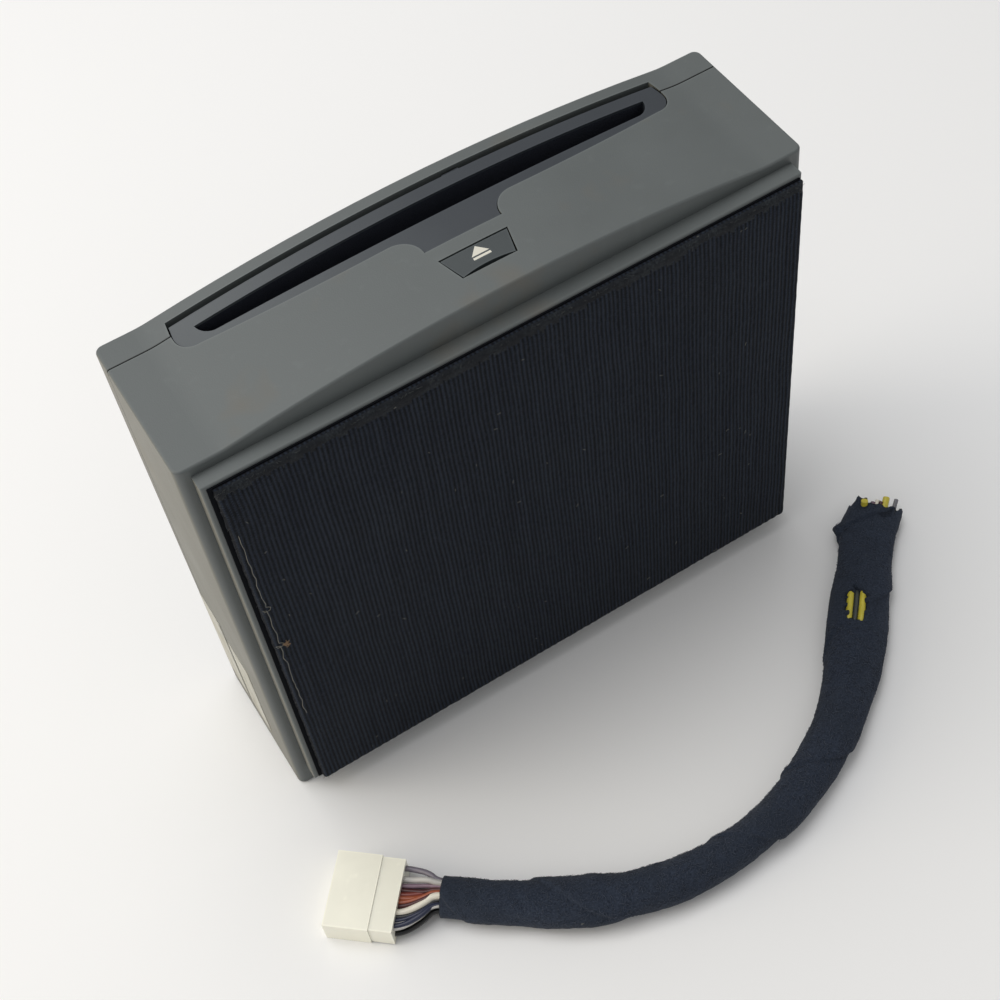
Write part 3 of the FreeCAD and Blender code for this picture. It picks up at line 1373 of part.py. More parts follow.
def meshed(phase, teeth, angle, next_teeth):
    """The phase of the next gear that puts its gaps on this gear's teeth across the line of centres."""
    return angle + 180.0 - (180.0 - (phase - angle) * teeth) / next_teeth


PINION, GEAR_ONE, GEAR_TWO, ROLLER = (
    (Y_PINION, Z_PINION), (Y_GEAR_ONE, Z_GEAR_ONE), (Y_GEAR_TWO, Z_GEAR_TWO), (Y_ROLLER, Z_ROLLER)
)
SMALL, BIG, LAST = (int(float(S[name])) for name in ("pinion_teeth", "big_teeth", "roller_gear_teeth"))
PINION_PHASE = 0.0
ONE_PHASE = meshed(PINION_PHASE, SMALL, heading(PINION, GEAR_ONE), BIG)
TWO_PHASE = meshed(0.0, SMALL, heading(GEAR_ONE, GEAR_TWO), BIG)
LAST_PHASE = meshed(0.0, SMALL, heading(GEAR_TWO, ROLLER), LAST)


def part_feature(name, shape):
    thing = doc.addObject("Part::Feature", name)
    thing.Shape = shape
    return thing


def loading_pinion():
    """The pinion on the motor's shaft, which reaches out through the wall to the third layer."""
    bore = float(S["loading_shaft_radius"])
    gear = gear_solid(SMALL, PINION_PHASE, X_LAYER_THREE, *PINION, bore=bore)
    return part_feature("loading_pinion_gear", gear)


def loading_shaft():
    inner = -X_WALL_IN + S["loading_motor_length"] / 2 - S["shaft_clearance"]
    return rod("loading_shaft_rod", "x", S["loading_shaft_radius"], (X_LAYER_THREE - S["gear_width"], inner),
               y=Y_PINION, z=Z_PINION)


def compound_gear(name, big_layer, small_layer, centre, phase):
    bore = float(S["gear_pin_radius"] + S["gear_pin_play"])
    big = gear_solid(BIG, phase, big_layer, *centre, bore=bore)
    small = gear_solid(SMALL, 0.0, small_layer, *centre, bore=bore)
    start, sideways, gap = FreeCAD.Vector(0, 0, 0), FreeCAD.Vector(1, 0, 0), float(S["gear_gap"])
    neck = Part.makeCylinder(float(R_SMALL) * 0.75, gap, start, sideways)
    neck = neck.cut(Part.makeCylinder(bore, gap, start, sideways))
    neck_end = small_layer - S["gear_width"] - S["gear_gap"]
    neck.translate(FreeCAD.Vector(float(neck_end), float(centre[0]), float(centre[1])))
    return part_feature(name + "_shape", big.fuse([small, neck]))


def roller_gear():
    bore = float(S["roller_shaft_radius"])
    return part_feature("roller_gear_shape", gear_solid(LAST, LAST_PHASE, X_LAYER_ONE, *ROLLER, bore=bore))


def gear_pins():
    pieces = []
    for number, (centre, layer) in enumerate(((GEAR_ONE, X_LAYER_THREE), (GEAR_TWO, X_LAYER_TWO))):
        end = layer - S["gear_width"] - S["gear_pin_play"] * 2
        at = dict(y=centre[0], z=centre[1])
        shank = rod("gear_pin_shank%d" % number, "x", S["gear_pin_radius"], (end, -X_WALL_IN), **at)
        head_span = (end - S["film_thickness"], end)
        head = rod("gear_pin_head%d" % number, "x", S["gear_pin_radius"] * 2, head_span, **at)
        pieces.append(fuse("gear_pin%d" % number, shank, head))
    return group("gear_pins_pair", *pieces)


Y_BOARD_LOW = place("y_board_low", Y_BOARD - S["board_thickness"])


def main_board():
    body = new_body("main_board")
    outline = rectangle((-BOARD_HALF, BOARD_HALF), (DECK_REAR, BOARD_FRONT))
    extrude(body, "XZ", [outline], Y_BOARD_LOW, Y_BOARD)
    holes = [("circle", x, z, S["screw_radius"] + S["screw_hole_clearance"]) for x, z in board_posts()]
    extrude(body, "XZ", holes, Y_BOARD_LOW - S["wall"], Y_BOARD + S["wall"], away=True)
    return body


def chips():
    side, height = S["chip_side"], S["chip_height"]
    spread, row = S["chip_spread"], DECK_REAR + S["chip_place"]
    corners = ((-side / 2, row), (spread, row - side / 2), (-spread, row - side))
    pieces = []
    for number, (x, z) in enumerate(corners):
        size = side / (2 if number else 1)
        pieces.append(block("chip%d" % number, (x, x + size), (Y_BOARD, Y_BOARD + height), (z, z + size)))
    return group("chips_set", *pieces)


def capacitors():
    radius, height = S["can_radius"], S["can_height"]
    row = DECK_REAR + S["can_rear"]
    pieces = [rod("capacitor%d" % number, "y", radius, (Y_BOARD, Y_BOARD + height),
                  x=S["can_side"] + S["can_pitch"] * number, z=row) for number in range(3)]
    return group("capacitors_set", *pieces)


def rear_socket():
    """The open box for the harness plug, let into the rear wall and standing on the board."""
    body = new_body("rear_socket")
    rear = S["socket_sink"]
    low = SOCKET_Y - SOCKET_HALF_Y
    outer = rectangle((-SOCKET_HALF_X, SOCKET_HALF_X), (low, SOCKET_Y + SOCKET_HALF_Y))
    extrude(body, "XY", [outer], rear, S["socket_length"])
    wall = S["socket_wall"]
    inner = rectangle((-SOCKET_HALF_X + wall, SOCKET_HALF_X - wall),
                      (low + wall, SOCKET_Y + SOCKET_HALF_Y - wall))
    extrude(body, "XY", [inner], -S["wall"], S["socket_floor"], away=True)
    pins = []
    for x, y in contact_spots():
        reach = S["pin_side"] / 2
        pins.append(rectangle((x - reach, x + reach), (SOCKET_Y + y - reach, SOCKET_Y + y + reach)))
    extrude(body, "XY", pins, S["socket_floor"] - S["wall"], S["socket_length"] + S["wall"], away=True)
    return body


def contact_spots():
    """The places of the two rows of contacts about the connector's middle."""
    count = int(float(S["contact_columns"]))
    spots = []
    for row in (-1, 1):
        for column in range(count):
            spots.append((S["contact_pitch"] * (column - (count - 1) / 2), S["contact_row_gap"] / 2 * row))
    return spots


def socket_pins():
    side = S["pin_side"]
    pieces = []
    for number, (x, y) in enumerate(contact_spots()):
        pieces.append(block("socket_pin%d" % number, (x - side / 2, x + side / 2),
                            (SOCKET_Y + y - side / 2, SOCKET_Y + y + side / 2),
                            (S["socket_floor"] - S["pin_reach"], S["socket_length"] + side)))
    return group("socket_pins_set", *pieces)


def deck_connector():
    half = S["ribbon_width"] / 2 + S["holder_half"]
    high = Y_BOARD + S["can_height"] / 2
    z = Z_ROLLER - S["ribbon_back"]
    return block("deck_connector_block", (-half, half), (Y_BOARD, high), (z, z + S["holder_length"]))


def deck_ribbon():
    """The flat cable from the board's connector up to the deck."""
    half = S["ribbon_width"] / 2
    middle = Z_ROLLER - S["ribbon_back"] + S["holder_length"] / 2
    span = (middle - S["ribbon_thickness"] / 2, middle + S["ribbon_thickness"] / 2)
    return block("deck_ribbon_block", (-half, half), (Y_BOARD + S["can_height"] / 2, Y_DECK_UNDER), span)


def switch_board():
    body = new_body("switch_board")
    half, reach = S["switch_board_half"], S["switch_board_width"] / 2
    low = Z_SWITCH_BOARD - S["switch_board_thickness"]
    middle = S["key_offset"]
    extrude(body, "XY", [rectangle((middle - half, middle + half), (SWITCH_Y - reach, SWITCH_Y + reach))],
            low, Z_SWITCH_BOARD)
    holes = [("circle", x, y, S["screw_radius"] + S["screw_hole_clearance"]) for x, y in switch_spots()]
    extrude(body, "XY", holes, low - S["wall"], Z_SWITCH_BOARD + S["wall"], away=True)
    return body


def switch_body():
    half, middle = S["switch_body"] / 2, S["key_offset"]
    case = block("switch_case", (middle - half, middle + half), (SWITCH_Y - half, SWITCH_Y + half),
                 (Z_SWITCH_BOARD, Z_SWITCH))
    bore_low = Z_SWITCH - S["plunger_inside"] - S["key_travel"] - S["key_gap"]
    bore_radius = S["plunger_radius"] + S["shaft_clearance"]
    bore = rod("switch_bore", "z", bore_radius, (bore_low, Z_SWITCH + S["wall"]), x=middle, y=SWITCH_Y)
    return cut("switch_body_piece", case, bore)


def switch_plunger():
    return rod("switch_plunger_rod", "z", S["plunger_radius"], (Z_SWITCH - S["plunger_inside"], Z_PLUNGER),
               x=S["key_offset"], y=SWITCH_Y)


# The harness plug lies on the table beside the player; its own X runs towards the wires
PLUG_TURN = FreeCAD.Rotation(FreeCAD.Vector(0, 0, 1), float(S["plug_turn"]))
PLUG_MIDDLE = FreeCAD.Vector(float(S["plug_x"]), float(S["plug_y"]), 0)
PLUG_HALF_LENGTH = (S["plug_length"] + S["plug_cover_length"]) / 2


def at_plug(thing):
    """Lays a piece drawn about the plug's middle in its place on the table."""
    local = thing.Placement.Base
    thing.Placement = FreeCAD.Placement(PLUG_MIDDLE + PLUG_TURN.multVec(local), PLUG_TURN)
    return thing


def plug_box(name, x, y, z):
    box = doc.addObject("Part::Box", name)
    bind(box, Length=x[1] - x[0], Width=y[1] - y[0], Height=z[1] - z[0])
    box.Placement.Base = FreeCAD.Vector(float(x[0]), float(y[0]), float(z[0]))
    return at_plug(box)


def plug_housing():
    half = S["plug_width"] / 2
    mating = -PLUG_HALF_LENGTH
    outer = plug_box("plug_housing_block", (mating, mating + S["plug_length"]), (-half, half),
                     (ZERO, S["plug_thickness"]))
    holes = []
    side = S["contact_hole"] / 2
    for number, (across, up) in enumerate(contact_spots()):
        middle = S["plug_thickness"] / 2 + up
        holes.append(plug_box("plug_hole%d" % number, (mating - S["wall"], mating + S["contact_depth"]),
                              (across - side, across + side), (middle - side, middle + side)))
    return cut("plug_housing_piece", outer, *holes)


def plug_cover():
    step = S["plug_cover_step"]
    half = S["plug_width"] / 2 - step
    start = -PLUG_HALF_LENGTH + S["plug_length"]
    return plug_box("plug_cover_block", (start, start + S["plug_cover_length"]), (-half, half),
                    (step, S["plug_thickness"] - step))


def plug_contacts():
    side = S["contact_side"] / 2
    inner = -PLUG_HALF_LENGTH + S["contact_depth"]
    pieces = []
    for number, (across, up) in enumerate(contact_spots()):
        middle = S["plug_thickness"] / 2 + up
        pieces.append(plug_box("plug_contact%d" % number, (inner - S["pin_reach"], inner),
                               (across - side, across + side), (middle - side, middle + side)))
    return group("plug_contacts_set", *pieces)


def loom_points():
    height = float(S["loom_diameter"]) / 2
    return [FreeCAD.Vector(x, y, height) for x, y in LOOM_ROUTE]


def bend_radius(before, corner, after):
    """The radius of the tangent arc at a corner, from its shorter run, and the turn there."""
    run_in, run_out = corner - before, after - corner
    turn = run_in.getAngle(run_out)
    return 0.45 * min(run_in.Length, run_out.Length) / math.tan(turn / 2), turn


def tangent_path(points):
    """Straight runs with a tangent arc at each point between the ends."""
    edges, start = [], points[0]
    for i in range(1, len(points) - 1):
        before, corner, after = points[i - 1:i + 2]
        radius, turn = bend_radius(before, corner, after)
        reach = radius * math.tan(turn / 2)
        entry = corner + (before - corner).normalize() * reach
        leave = corner + (after - corner).normalize() * reach
        inward = ((before - corner).normalize() + (after - corner).normalize()).normalize()
        middle = corner + inward * (radius / math.cos(turn / 2) - radius)
        edges.append(Part.makeLine(start, entry))
        edges.append(Part.Arc(entry, middle, leave).toShape())
        start = leave
        print("loom bend %d: radius %.1f" % (i, radius))
    edges.append(Part.makeLine(start, points[-1]))
    return Part.Wire(edges)


def harness_loom():
    points = loom_points()
    path = tangent_path(points)
    radius = float(S["loom_diameter"]) / 2
    circle = Part.makeCircle(radius, points[0], points[1] - points[0])
    shape = path.makePipeShell([Part.Wire([circle])], True, False)
    print("loom length %.1f, volume %.0f, section by length %.0f"
          % (path.Length, shape.Volume, math.pi * radius * radius * path.Length))
    return part_feature("harness_loom_shape", shape)


def wire_spread(count, reach):
    """Evenly spread offsets from -reach to reach."""
    return [reach * (2.0 * number / (count - 1) - 1) for number in range(count)]


def plug_wires():
    """The loose wires from the plug's cover into the start of the tape."""
    points = loom_points()
    along = PLUG_TURN.multVec(FreeCAD.Vector(1, 0, 0))
    across = PLUG_TURN.multVec(FreeCAD.Vector(0, 1, 0))
    face = PLUG_MIDDLE + along * float(PLUG_HALF_LENGTH)
    count = int(float(S["contact_columns"]))
    side = float(S["plug_width"]) / 2 - 2 * float(S["wire_radius"])
    loom_side = float(S["loom_diameter"]) / 2 - 2 * float(S["wire_radius"])
    radius = float(S["wire_radius"])
    solids = []
    for wide, narrow in zip(wire_spread(count, side), wire_spread(count, loom_side)):
        start = face + across * wide + FreeCAD.Vector(0, 0, float(S["plug_thickness"]) / 2)
        end = points[0] + across * narrow
        solids.append(Part.makeCylinder(radius, (end - start).Length, start, end - start))
    doc.recompute()
    neighbours = [PARTS["plug_cover"].Shape, PARTS["harness_loom"].Shape]
    return part_feature("plug_wires_shape", Part.makeCompound([solid.cut(neighbours) for solid in solids]))


def wire_ends():
    """The short ends that stick out of the cut end of the tape."""
    points = loom_points()
    along = (points[-1] - points[-2]).normalize()
    across = FreeCAD.Vector(-along.y, along.x, 0)
    radius = float(S["wire_radius"])
    solids = []
    for number, offset in enumerate(wire_spread(4, float(S["loom_diameter"]) / 4)):
        lift = radius * (1.5 if number % 2 else -1.5)
        start = points[-1] + across * offset + FreeCAD.Vector(0, 0, lift)
        length = float(S["wire_end_length"]) * (0.6 + 0.2 * (number % 3))
        solids.append(Part.makeCylinder(radius, length, start, along))
    return part_feature("wire_ends_shape", Part.makeCompound(solids))


SLOT_ROOM = slot_room()
film, pad = hook_pad_layers()
LABEL_EDGE = S["label_margin"]
label_upper = side_label(
    "label_upper",
    (Y_TOP - S["skirt_drop"] + LABEL_EDGE + S["label_margin"], Y_TOP - S["long_edge_radius"] - LABEL_EDGE),
    (S["label_rear_margin"], S["skirt_length"] - LABEL_EDGE),
)
LABEL_LOWER_TOP = Y_TOP - S["skirt_drop"] - S["seam_gap"] - LABEL_EDGE * 2
label_lower = side_label(
    "label_lower",
    (LABEL_LOWER_TOP - S["label_lower_width"], LABEL_LOWER_TOP),
    (S["label_rear_margin"] + S["label_margin"], S["skirt_length"] - S["label_lower_end"]),
)

NODES = {
    "upper_shell": upper_shell,
    "lower_shell": lower_shell,
    "slot_insert": slot_insert,
    "slot_felts": slot_felts,
    "eject_key": eject_key,
    "eject_symbol": eject_symbol,
    "hook_film": lambda: film,
    "hook_pad": lambda: pad,
    "label_upper": lambda: label_upper,
    "label_lower": lambda: label_lower,
    "case_screws": lambda: screws("case", case_posts(), "y", POST_SEAT,
                                  S["case_post_height"] + S["screw_well_depth"], 1),
    "deck_chassis": deck_chassis,
    "inner_screws": inner_screws,
    "top_plate": top_plate,
    "disc_guide": disc_guide,
    "hinge_pin": hinge_pin,
    "clamp_arm": clamp_arm,
    "clamper": clamper,
    "cam_slider": cam_slider,
    "cam_rivets": cam_rivets,
    "traverse_plate": traverse_plate,
    "dampers": dampers,
    "damper_screws": lambda: screws("damper", damper_spots(), "y", Y_TRAVERSE,
                                    Y_TRAVERSE - Y_DECK_FLOOR, -1),
    "guide_rods": guide_rods,
    "pickup_sled": pickup_sled,
    "lens_holder": lens_holder,
    "lens": lens,
    "turntable": turntable,
    "turntable_ring": turntable_ring,
    "spindle_shaft": spindle_shaft,
    "spindle_motor": spindle_motor,
    "lead_screw": lead_screw,
    "sled_motor": sled_motor,
    "feed_roller": feed_roller,
    "roller_shaft": roller_shaft,
    "roller_bushes": roller_bushes,
    "roller_gear": roller_gear,
    "gear_one": lambda: compound_gear("gear_one", X_LAYER_THREE, X_LAYER_TWO, GEAR_ONE, ONE_PHASE),
    "gear_two": lambda: compound_gear("gear_two", X_LAYER_TWO, X_LAYER_ONE, GEAR_TWO, TWO_PHASE),
    "gear_pins": gear_pins,
    "loading_motor": loading_motor,
    "loading_pinion": loading_pinion,
    "loading_shaft": loading_shaft,
    "main_board": main_board,
    "chips": chips,
    "capacitors": capacitors,
    "rear_socket": rear_socket,
    "socket_pins": socket_pins,
    "deck_connector": deck_connector,
    "deck_ribbon": deck_ribbon,
    "switch_board": switch_board,
    "switch_body": switch_body,
    "switch_plunger": switch_plunger,
    "plug_housing": plug_housing,
    "plug_cover": plug_cover,
    "plug_contacts": plug_contacts,
    "harness_loom": harness_loom,
    "plug_wires": plug_wires,
    "wire_ends": wire_ends,
}

for node, make in NODES.items():
    keep(node, make())
doc.recompute()

for thing in doc.Objects:
    if "Invalid" in thing.State or "Error" in thing.State:
        raise RuntimeError("%s did not compute: %s" % (thing.Name, thing.State))
for thing in doc.Objects:
    if thing.TypeId == "PartDesign::Pocket" and thing.Shape.Volume >= thing.BaseFeature.Shape.Volume - 1e-3:
        raise RuntimeError("%s removes nothing" % thing.Name)

os.makedirs("parts", exist_ok=True)
for node, thing in PARTS.items():
    if thing.Shape.isNull() or not thing.Shape.isValid():
        raise RuntimeError("%s is not a valid shape" % node)
    print("%s: %d solids, %.1f mm3" % (node, len(thing.Shape.Solids), thing.Shape.Volume))
    thing.Shape.exportStep("parts/%s.step" % node)
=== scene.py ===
import json
import math
import random

import bmesh
import bpy
from mathutils import Matrix, Vector, noise


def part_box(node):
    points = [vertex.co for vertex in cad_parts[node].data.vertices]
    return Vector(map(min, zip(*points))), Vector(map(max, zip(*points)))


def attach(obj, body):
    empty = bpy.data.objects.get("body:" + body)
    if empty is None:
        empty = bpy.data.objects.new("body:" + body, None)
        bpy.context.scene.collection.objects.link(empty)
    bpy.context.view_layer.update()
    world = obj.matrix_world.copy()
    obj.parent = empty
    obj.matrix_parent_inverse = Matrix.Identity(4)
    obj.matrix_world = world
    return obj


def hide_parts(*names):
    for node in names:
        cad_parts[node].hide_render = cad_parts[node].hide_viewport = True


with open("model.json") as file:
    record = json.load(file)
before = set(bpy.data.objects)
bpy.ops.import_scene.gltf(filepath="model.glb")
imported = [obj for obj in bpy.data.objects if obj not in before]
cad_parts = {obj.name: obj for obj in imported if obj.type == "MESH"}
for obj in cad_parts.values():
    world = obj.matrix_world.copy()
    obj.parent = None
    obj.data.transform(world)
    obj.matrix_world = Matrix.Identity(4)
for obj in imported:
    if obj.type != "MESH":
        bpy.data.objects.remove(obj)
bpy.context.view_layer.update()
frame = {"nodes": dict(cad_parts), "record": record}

# Route of the taped loom on the table: the source's points in metres, the last five moved outwards
# by up to 4 mm as the photograph shows, each with the height of the loom's middle there
LOOM_ROUTE = [
    (-0.0720, -0.0771, 0.0058), (-0.0475, -0.0975, 0.0059), (-0.0180, -0.1096, 0.0058),
    (0.0137, -0.1116, 0.0056), (0.0445, -0.1018, 0.0054), (0.0690, -0.0830, 0.0048),
    (0.0905, -0.0592, 0.0044), (0.1090, -0.0394, 0.0042),
]
# The loom's section: share of its length, half its width and half its height
LOOM_SECTIONS = [
    (0.00, 0.0057, 0.0056), (0.10, 0.0063, 0.0057), (0.19, 0.0077, 0.0058),
    (0.26, 0.0062, 0.0056), (0.42, 0.0056, 0.0054), (0.60, 0.0069, 0.0050),
    (0.80, 0.0093, 0.0043), (0.92, 0.0084, 0.0042), (1.00, 0.0096, 0.0039),
]
# The plug: its middle, its turn on the table, and half its length
PLUG_MIDDLE = Vector((-0.0901, -0.0644, 0.0045))
PLUG_TURN = math.radians(-40.5)
PLUG_HALF = 0.010


def linear(red, green, blue):
    """A colour from screen values of 0 to 255."""
    def channel(value):
        value /= 255
        return value / 12.92 if value <= 0.04045 else ((value + 0.055) / 1.055) ** 2.4
    return (channel(red), channel(green), channel(blue), 1.0)


class Shader:
    """A node material with short ways to add and join nodes."""

    def __init__(self, name, colour, roughness=0.5, **values):
        self.material = bpy.data.materials.new(name)
        self.material.use_nodes = True
        self.nodes = self.material.node_tree.nodes
        self.links = self.material.node_tree.links
        self.surface = self.nodes["Principled BSDF"]
        self.set(self.surface, {"Base Color": colour, "Roughness": roughness, **values})
        self.material.diffuse_color = colour
        self.place = self.nodes.new("ShaderNodeTexCoord").outputs["Object"]

    def set(self, node, values):
        """Give each input of a node its value, or join it to another node's output."""
        for key, value in values.items():
            if isinstance(value, bpy.types.NodeSocket):
                self.links.new(value, node.inputs[key])
            else:
                node.inputs[key].default_value = value

    def add(self, kind, values, **settings):
        node = self.nodes.new("ShaderNode" + kind)
        for key, value in settings.items():
            setattr(node, key, value)
        self.set(node, values)
        return node

    def noise(self, scale, detail=4.0, rough=0.5, stretch=None):
        place = self.place
        if stretch:
            place = self.add("Mapping", {"Vector": self.place, "Scale": stretch}).outputs["Vector"]
        values = {"Vector": place, "Scale": scale, "Detail": detail, "Roughness": rough}
        return self.add("TexNoise", values).outputs["Fac"]

    def ramp(self, factor, low, high, values=(0.0, 1.0)):
        """The factor mapped straight from low..high to the two values, and held there beyond."""
        return self.add("MapRange", {"Value": factor, "From Min": low, "From Max": high,
                                     "To Min": values[0], "To Max": values[1]}).outputs["Result"]

    def mix(self, factor, first, second):
        """The first colour, going over to the second as the factor goes from 0 to 1."""
        node = self.add("Mix", {"Factor": factor, 6: first, 7: second}, data_type="RGBA")
        return node.outputs[2]

    def calculate(self, operation, first, second=0.0):
        return self.add("Math", {0: first, 1: second}, operation=operation).outputs[0]

    def axes(self):
        return self.add("SeparateXYZ", {"Vector": self.place}).outputs

    def bump(self, height, distance, strength=1.0, under=None):
        values = {"Height": height, "Distance": distance, "Strength": strength}
        if under is not None:
            values["Normal"] = under
        return self.add("Bump", values).outputs["Normal"]

    def use(self, **values):
        """Set the surface's own inputs, with an underscore in place of each space."""
        self.set(self.surface, {key.replace("_", " "): value for key, value in values.items()})


def scaled(colour, factor):
    """A colour made lighter or darker."""
    return tuple(value * factor for value in colour[:3]) + (1.0,)


# The seam between the shells: its height on the front face and, along each side, at the skirt's front
# end, the skirt's low edge, and where the skirt ends
SEAM_FRONT, SEAM_SIDE, SKIRT_LOW = 0.0186, 0.0225, 0.0101
SKIRT_END, FACE_EDGE = 0.052, 0.1577
# How far the painted shade along the seam reaches from it
SEAM_SHADE_REACH = 0.00034
# How far the painted highlight on rubbed edges and the painted shade in corners reach
EDGE_HIGHLIGHT_REACH = 0.0013
CORNER_SHADE_REACH = 0.0014


def seam_shade(shader):
    """Painted shade along the seam, standing in for the shadow in the gap between the shells: 1 at the seam,
    0 at a little way from it.
    """
    axes = shader.axes()
    line = shader.ramp(axes["Z"], SKIRT_END, FACE_EDGE, (SEAM_SIDE, SEAM_FRONT))
    behind = shader.calculate("LESS_THAN", axes["Z"], SKIRT_END - 0.0001)
    drop = shader.calculate("MULTIPLY", behind, SEAM_SIDE - SKIRT_LOW)
    seam = shader.calculate("SUBTRACT", line, drop)
    away = shader.calculate("ABSOLUTE", shader.calculate("SUBTRACT", axes["Y"], seam))
    return shader.ramp(away, SEAM_SHADE_REACH, SEAM_SHADE_REACH * 0.5, (0.0, 0.85))


def moulded(name, colour, roughness=0.55, grain=0.00004, stain=None, wear_and_highlight=0.35, left_end_reflection=None, seam=False):
    """Moulded plastic: fine grain, faint patches of dirt, a painted highlight on its edges that is partly
    rubbed wear, and painted shade in its corners.

    stain is the colour of its spots, and the colour for the left end is that of a painted reflection,
    lighter towards that end. seam adds the painted shade along the seam between the shells and the painted
    warm light on the side towards -X.
    """
    shader = Shader(name, colour, roughness)
    patches = shader.ramp(shader.noise(22, 5, 0.6), 0.35, 0.7)
    base = shader.mix(patches, scaled(colour, 0.93), scaled(colour, 1.06))
    # Painted reflection: the plastic goes over to a lighter colour towards its left end
    if left_end_reflection:
        base = shader.mix(shader.ramp(shader.axes()["X"], 0.0, -0.062), base, left_end_reflection)
    if stain:
        spots = shader.ramp(shader.noise(31, 3, 0.65), 0.58, 0.75, (0.0, 0.5))
        base = shader.mix(spots, base, stain)
    fine = shader.noise(2600, 2, 0.7)
    # Painted highlight along sharp edges, partly rubbed wear: lighter where the bevelled normal turns away
    # from the flat one
    edge = shader.add("Bevel", {"Radius": EDGE_HIGHLIGHT_REACH}, samples=8).outputs["Normal"]
    flat = shader.add("NewGeometry", {}).outputs["Normal"]
    sharp = shader.add("VectorMath", {0: edge, 1: flat}, operation="DOT_PRODUCT").outputs["Value"]
    rubbed_edge_highlight = shader.calculate("MULTIPLY", shader.ramp(sharp, 0.985, 0.86), wear_and_highlight)
    base = shader.mix(rubbed_edge_highlight, base, scaled(colour, 1.8))
    if seam:
        # Painted warm light on the side facing -X
        facing = shader.add("SeparateXYZ", {"Vector": flat}).outputs["X"]
        base = shader.mix(shader.ramp(facing, -0.75, -0.97, (0.0, 0.45)), base, CASE_SIDE_LIGHT)
        # Painted shade along the seam between the shells
        base = shader.mix(seam_shade(shader), base, linear(16, 17, 18))
    # Painted shade in corners and recesses: darker where ambient occlusion is strong
    painted_corner_shade = shader.add("AmbientOcclusion", {"Distance": CORNER_SHADE_REACH}, samples=5).outputs["AO"]
    base = shader.mix(shader.ramp(painted_corner_shade, 0.2, 0.6, (0.9, 0.0)), base, linear(14, 15, 17))
    scratches = shader.ramp(shader.noise(260, 2, 0.5, (1, 1, 0.06)), 0.62, 0.75, (0.0, 0.12))
    base = shader.mix(scratches, base, scaled(colour, 1.5))
    shader.use(Base_Color=base, Roughness=shader.ramp(patches, 0, 1, (roughness - 0.06, roughness + 0.08)),
               Normal=shader.bump(fine, grain))
    return shader.material


def metal(name, colour, roughness=0.3, brushed=(1, 1, 1)):
    """Metal with fine marks, drawn out into lines where brushed isn't the same in all three directions."""
    shader = Shader(name, colour, roughness, Metallic=1.0)
    lines = shader.noise(900, 3, 0.6, brushed)
    shader.use(Base_Color=shader.mix(lines, scaled(colour, 0.8), scaled(colour, 1.1)),
               Roughness=shader.ramp(lines, 0.3, 0.7, (roughness * 0.75, roughness * 1.3)),
               Normal=shader.bump(lines, 0.00001, 0.6))
    return shader.material


def soft(name, colour, scale=1800, depth=0.0003, roughness=0.95, sheen=0.3, gloss=0.5):
    """Felt, rubber or fleece: matt, with a fine uneven surface."""
    shader = Shader(name, colour, roughness)
    fibres = shader.noise(scale, 4, 0.75)
    patches = shader.noise(60, 3)
    base = shader.mix(fibres, scaled(colour, 0.55), scaled(colour, 1.5))
    base = shader.mix(patches, base, scaled(colour, 1.15))
    shader.use(Base_Color=base, Sheen_Weight=sheen, Sheen_Roughness=0.5, Specular_IOR_Level=gloss,
               Normal=shader.bump(fibres, depth))
    return shader.material


CASE = linear(91, 96, 96)
# Painted warm light on the case's side facing -X
CASE_SIDE_LIGHT = linear(122, 115, 96)
INSERT = linear(52, 57, 63)
# Painted reflection at the insert's left end
INSERT_LEFT_REFLECTION = linear(74, 79, 82)
CREAM = linear(250, 248, 232)

case_plastic = moulded("case plastic", CASE, 0.5, stain=linear(104, 95, 80), wear_and_highlight=0.25, seam=True)
insert_plastic = moulded("insert plastic", INSERT, 0.42, grain=0.00002, wear_and_highlight=0.2, left_end_reflection=INSERT_LEFT_REFLECTION)
key_plastic = moulded("key plastic", linear(60, 66, 68), 0.45)
cream_mark = moulded("cream mark", linear(214, 211, 198), 0.5, wear_and_highlight=0.0)
black_plastic = moulded("black plastic", linear(38, 38, 40), 0.45)
white_plastic = moulded("white plastic", linear(222, 221, 212), 0.35, wear_and_highlight=0.1)
plug_plastic = moulded("plug plastic", CREAM, 0.32, grain=0.00001, stain=linear(214, 203, 170), wear_and_highlight=0.1)
board = moulded("board", linear(38, 92, 52), 0.35, grain=0.00003)
ribbon = moulded("ribbon", linear(176, 112, 48), 0.3, grain=0.00001, wear_and_highlight=0.05)
steel = metal("zinc steel", linear(176, 178, 180), 0.38, (1, 6, 1))
pin_steel = metal("ground steel", linear(205, 206, 208), 0.18, (1, 1, 8))
screw_steel = metal("screw steel", linear(150, 150, 152), 0.42)
aluminium = metal("aluminium", linear(196, 198, 200), 0.3, (1, 8, 1))
brass = metal("bronze", linear(188, 146, 84), 0.35)
contact = metal("contacts", linear(206, 184, 116), 0.25)
rubber = soft("rubber", linear(34, 34, 35), 900, 0.00006, 0.75, 0.05)
felt = soft("felt", linear(20, 26, 40), 2200, 0.0002, sheen=0.02)
film = soft("adhesive film", linear(12, 14, 19), 1200, 0.00005, sheen=0.0, gloss=0.12)

glass = Shader("lens glass", linear(150, 170, 215), 0.04, **{"Transmission Weight": 0.85, "IOR": 1.5})
tint = glass.noise(300, 2)
glass.use(Base_Color=glass.mix(tint, linear(140, 160, 215), linear(165, 185, 225)))


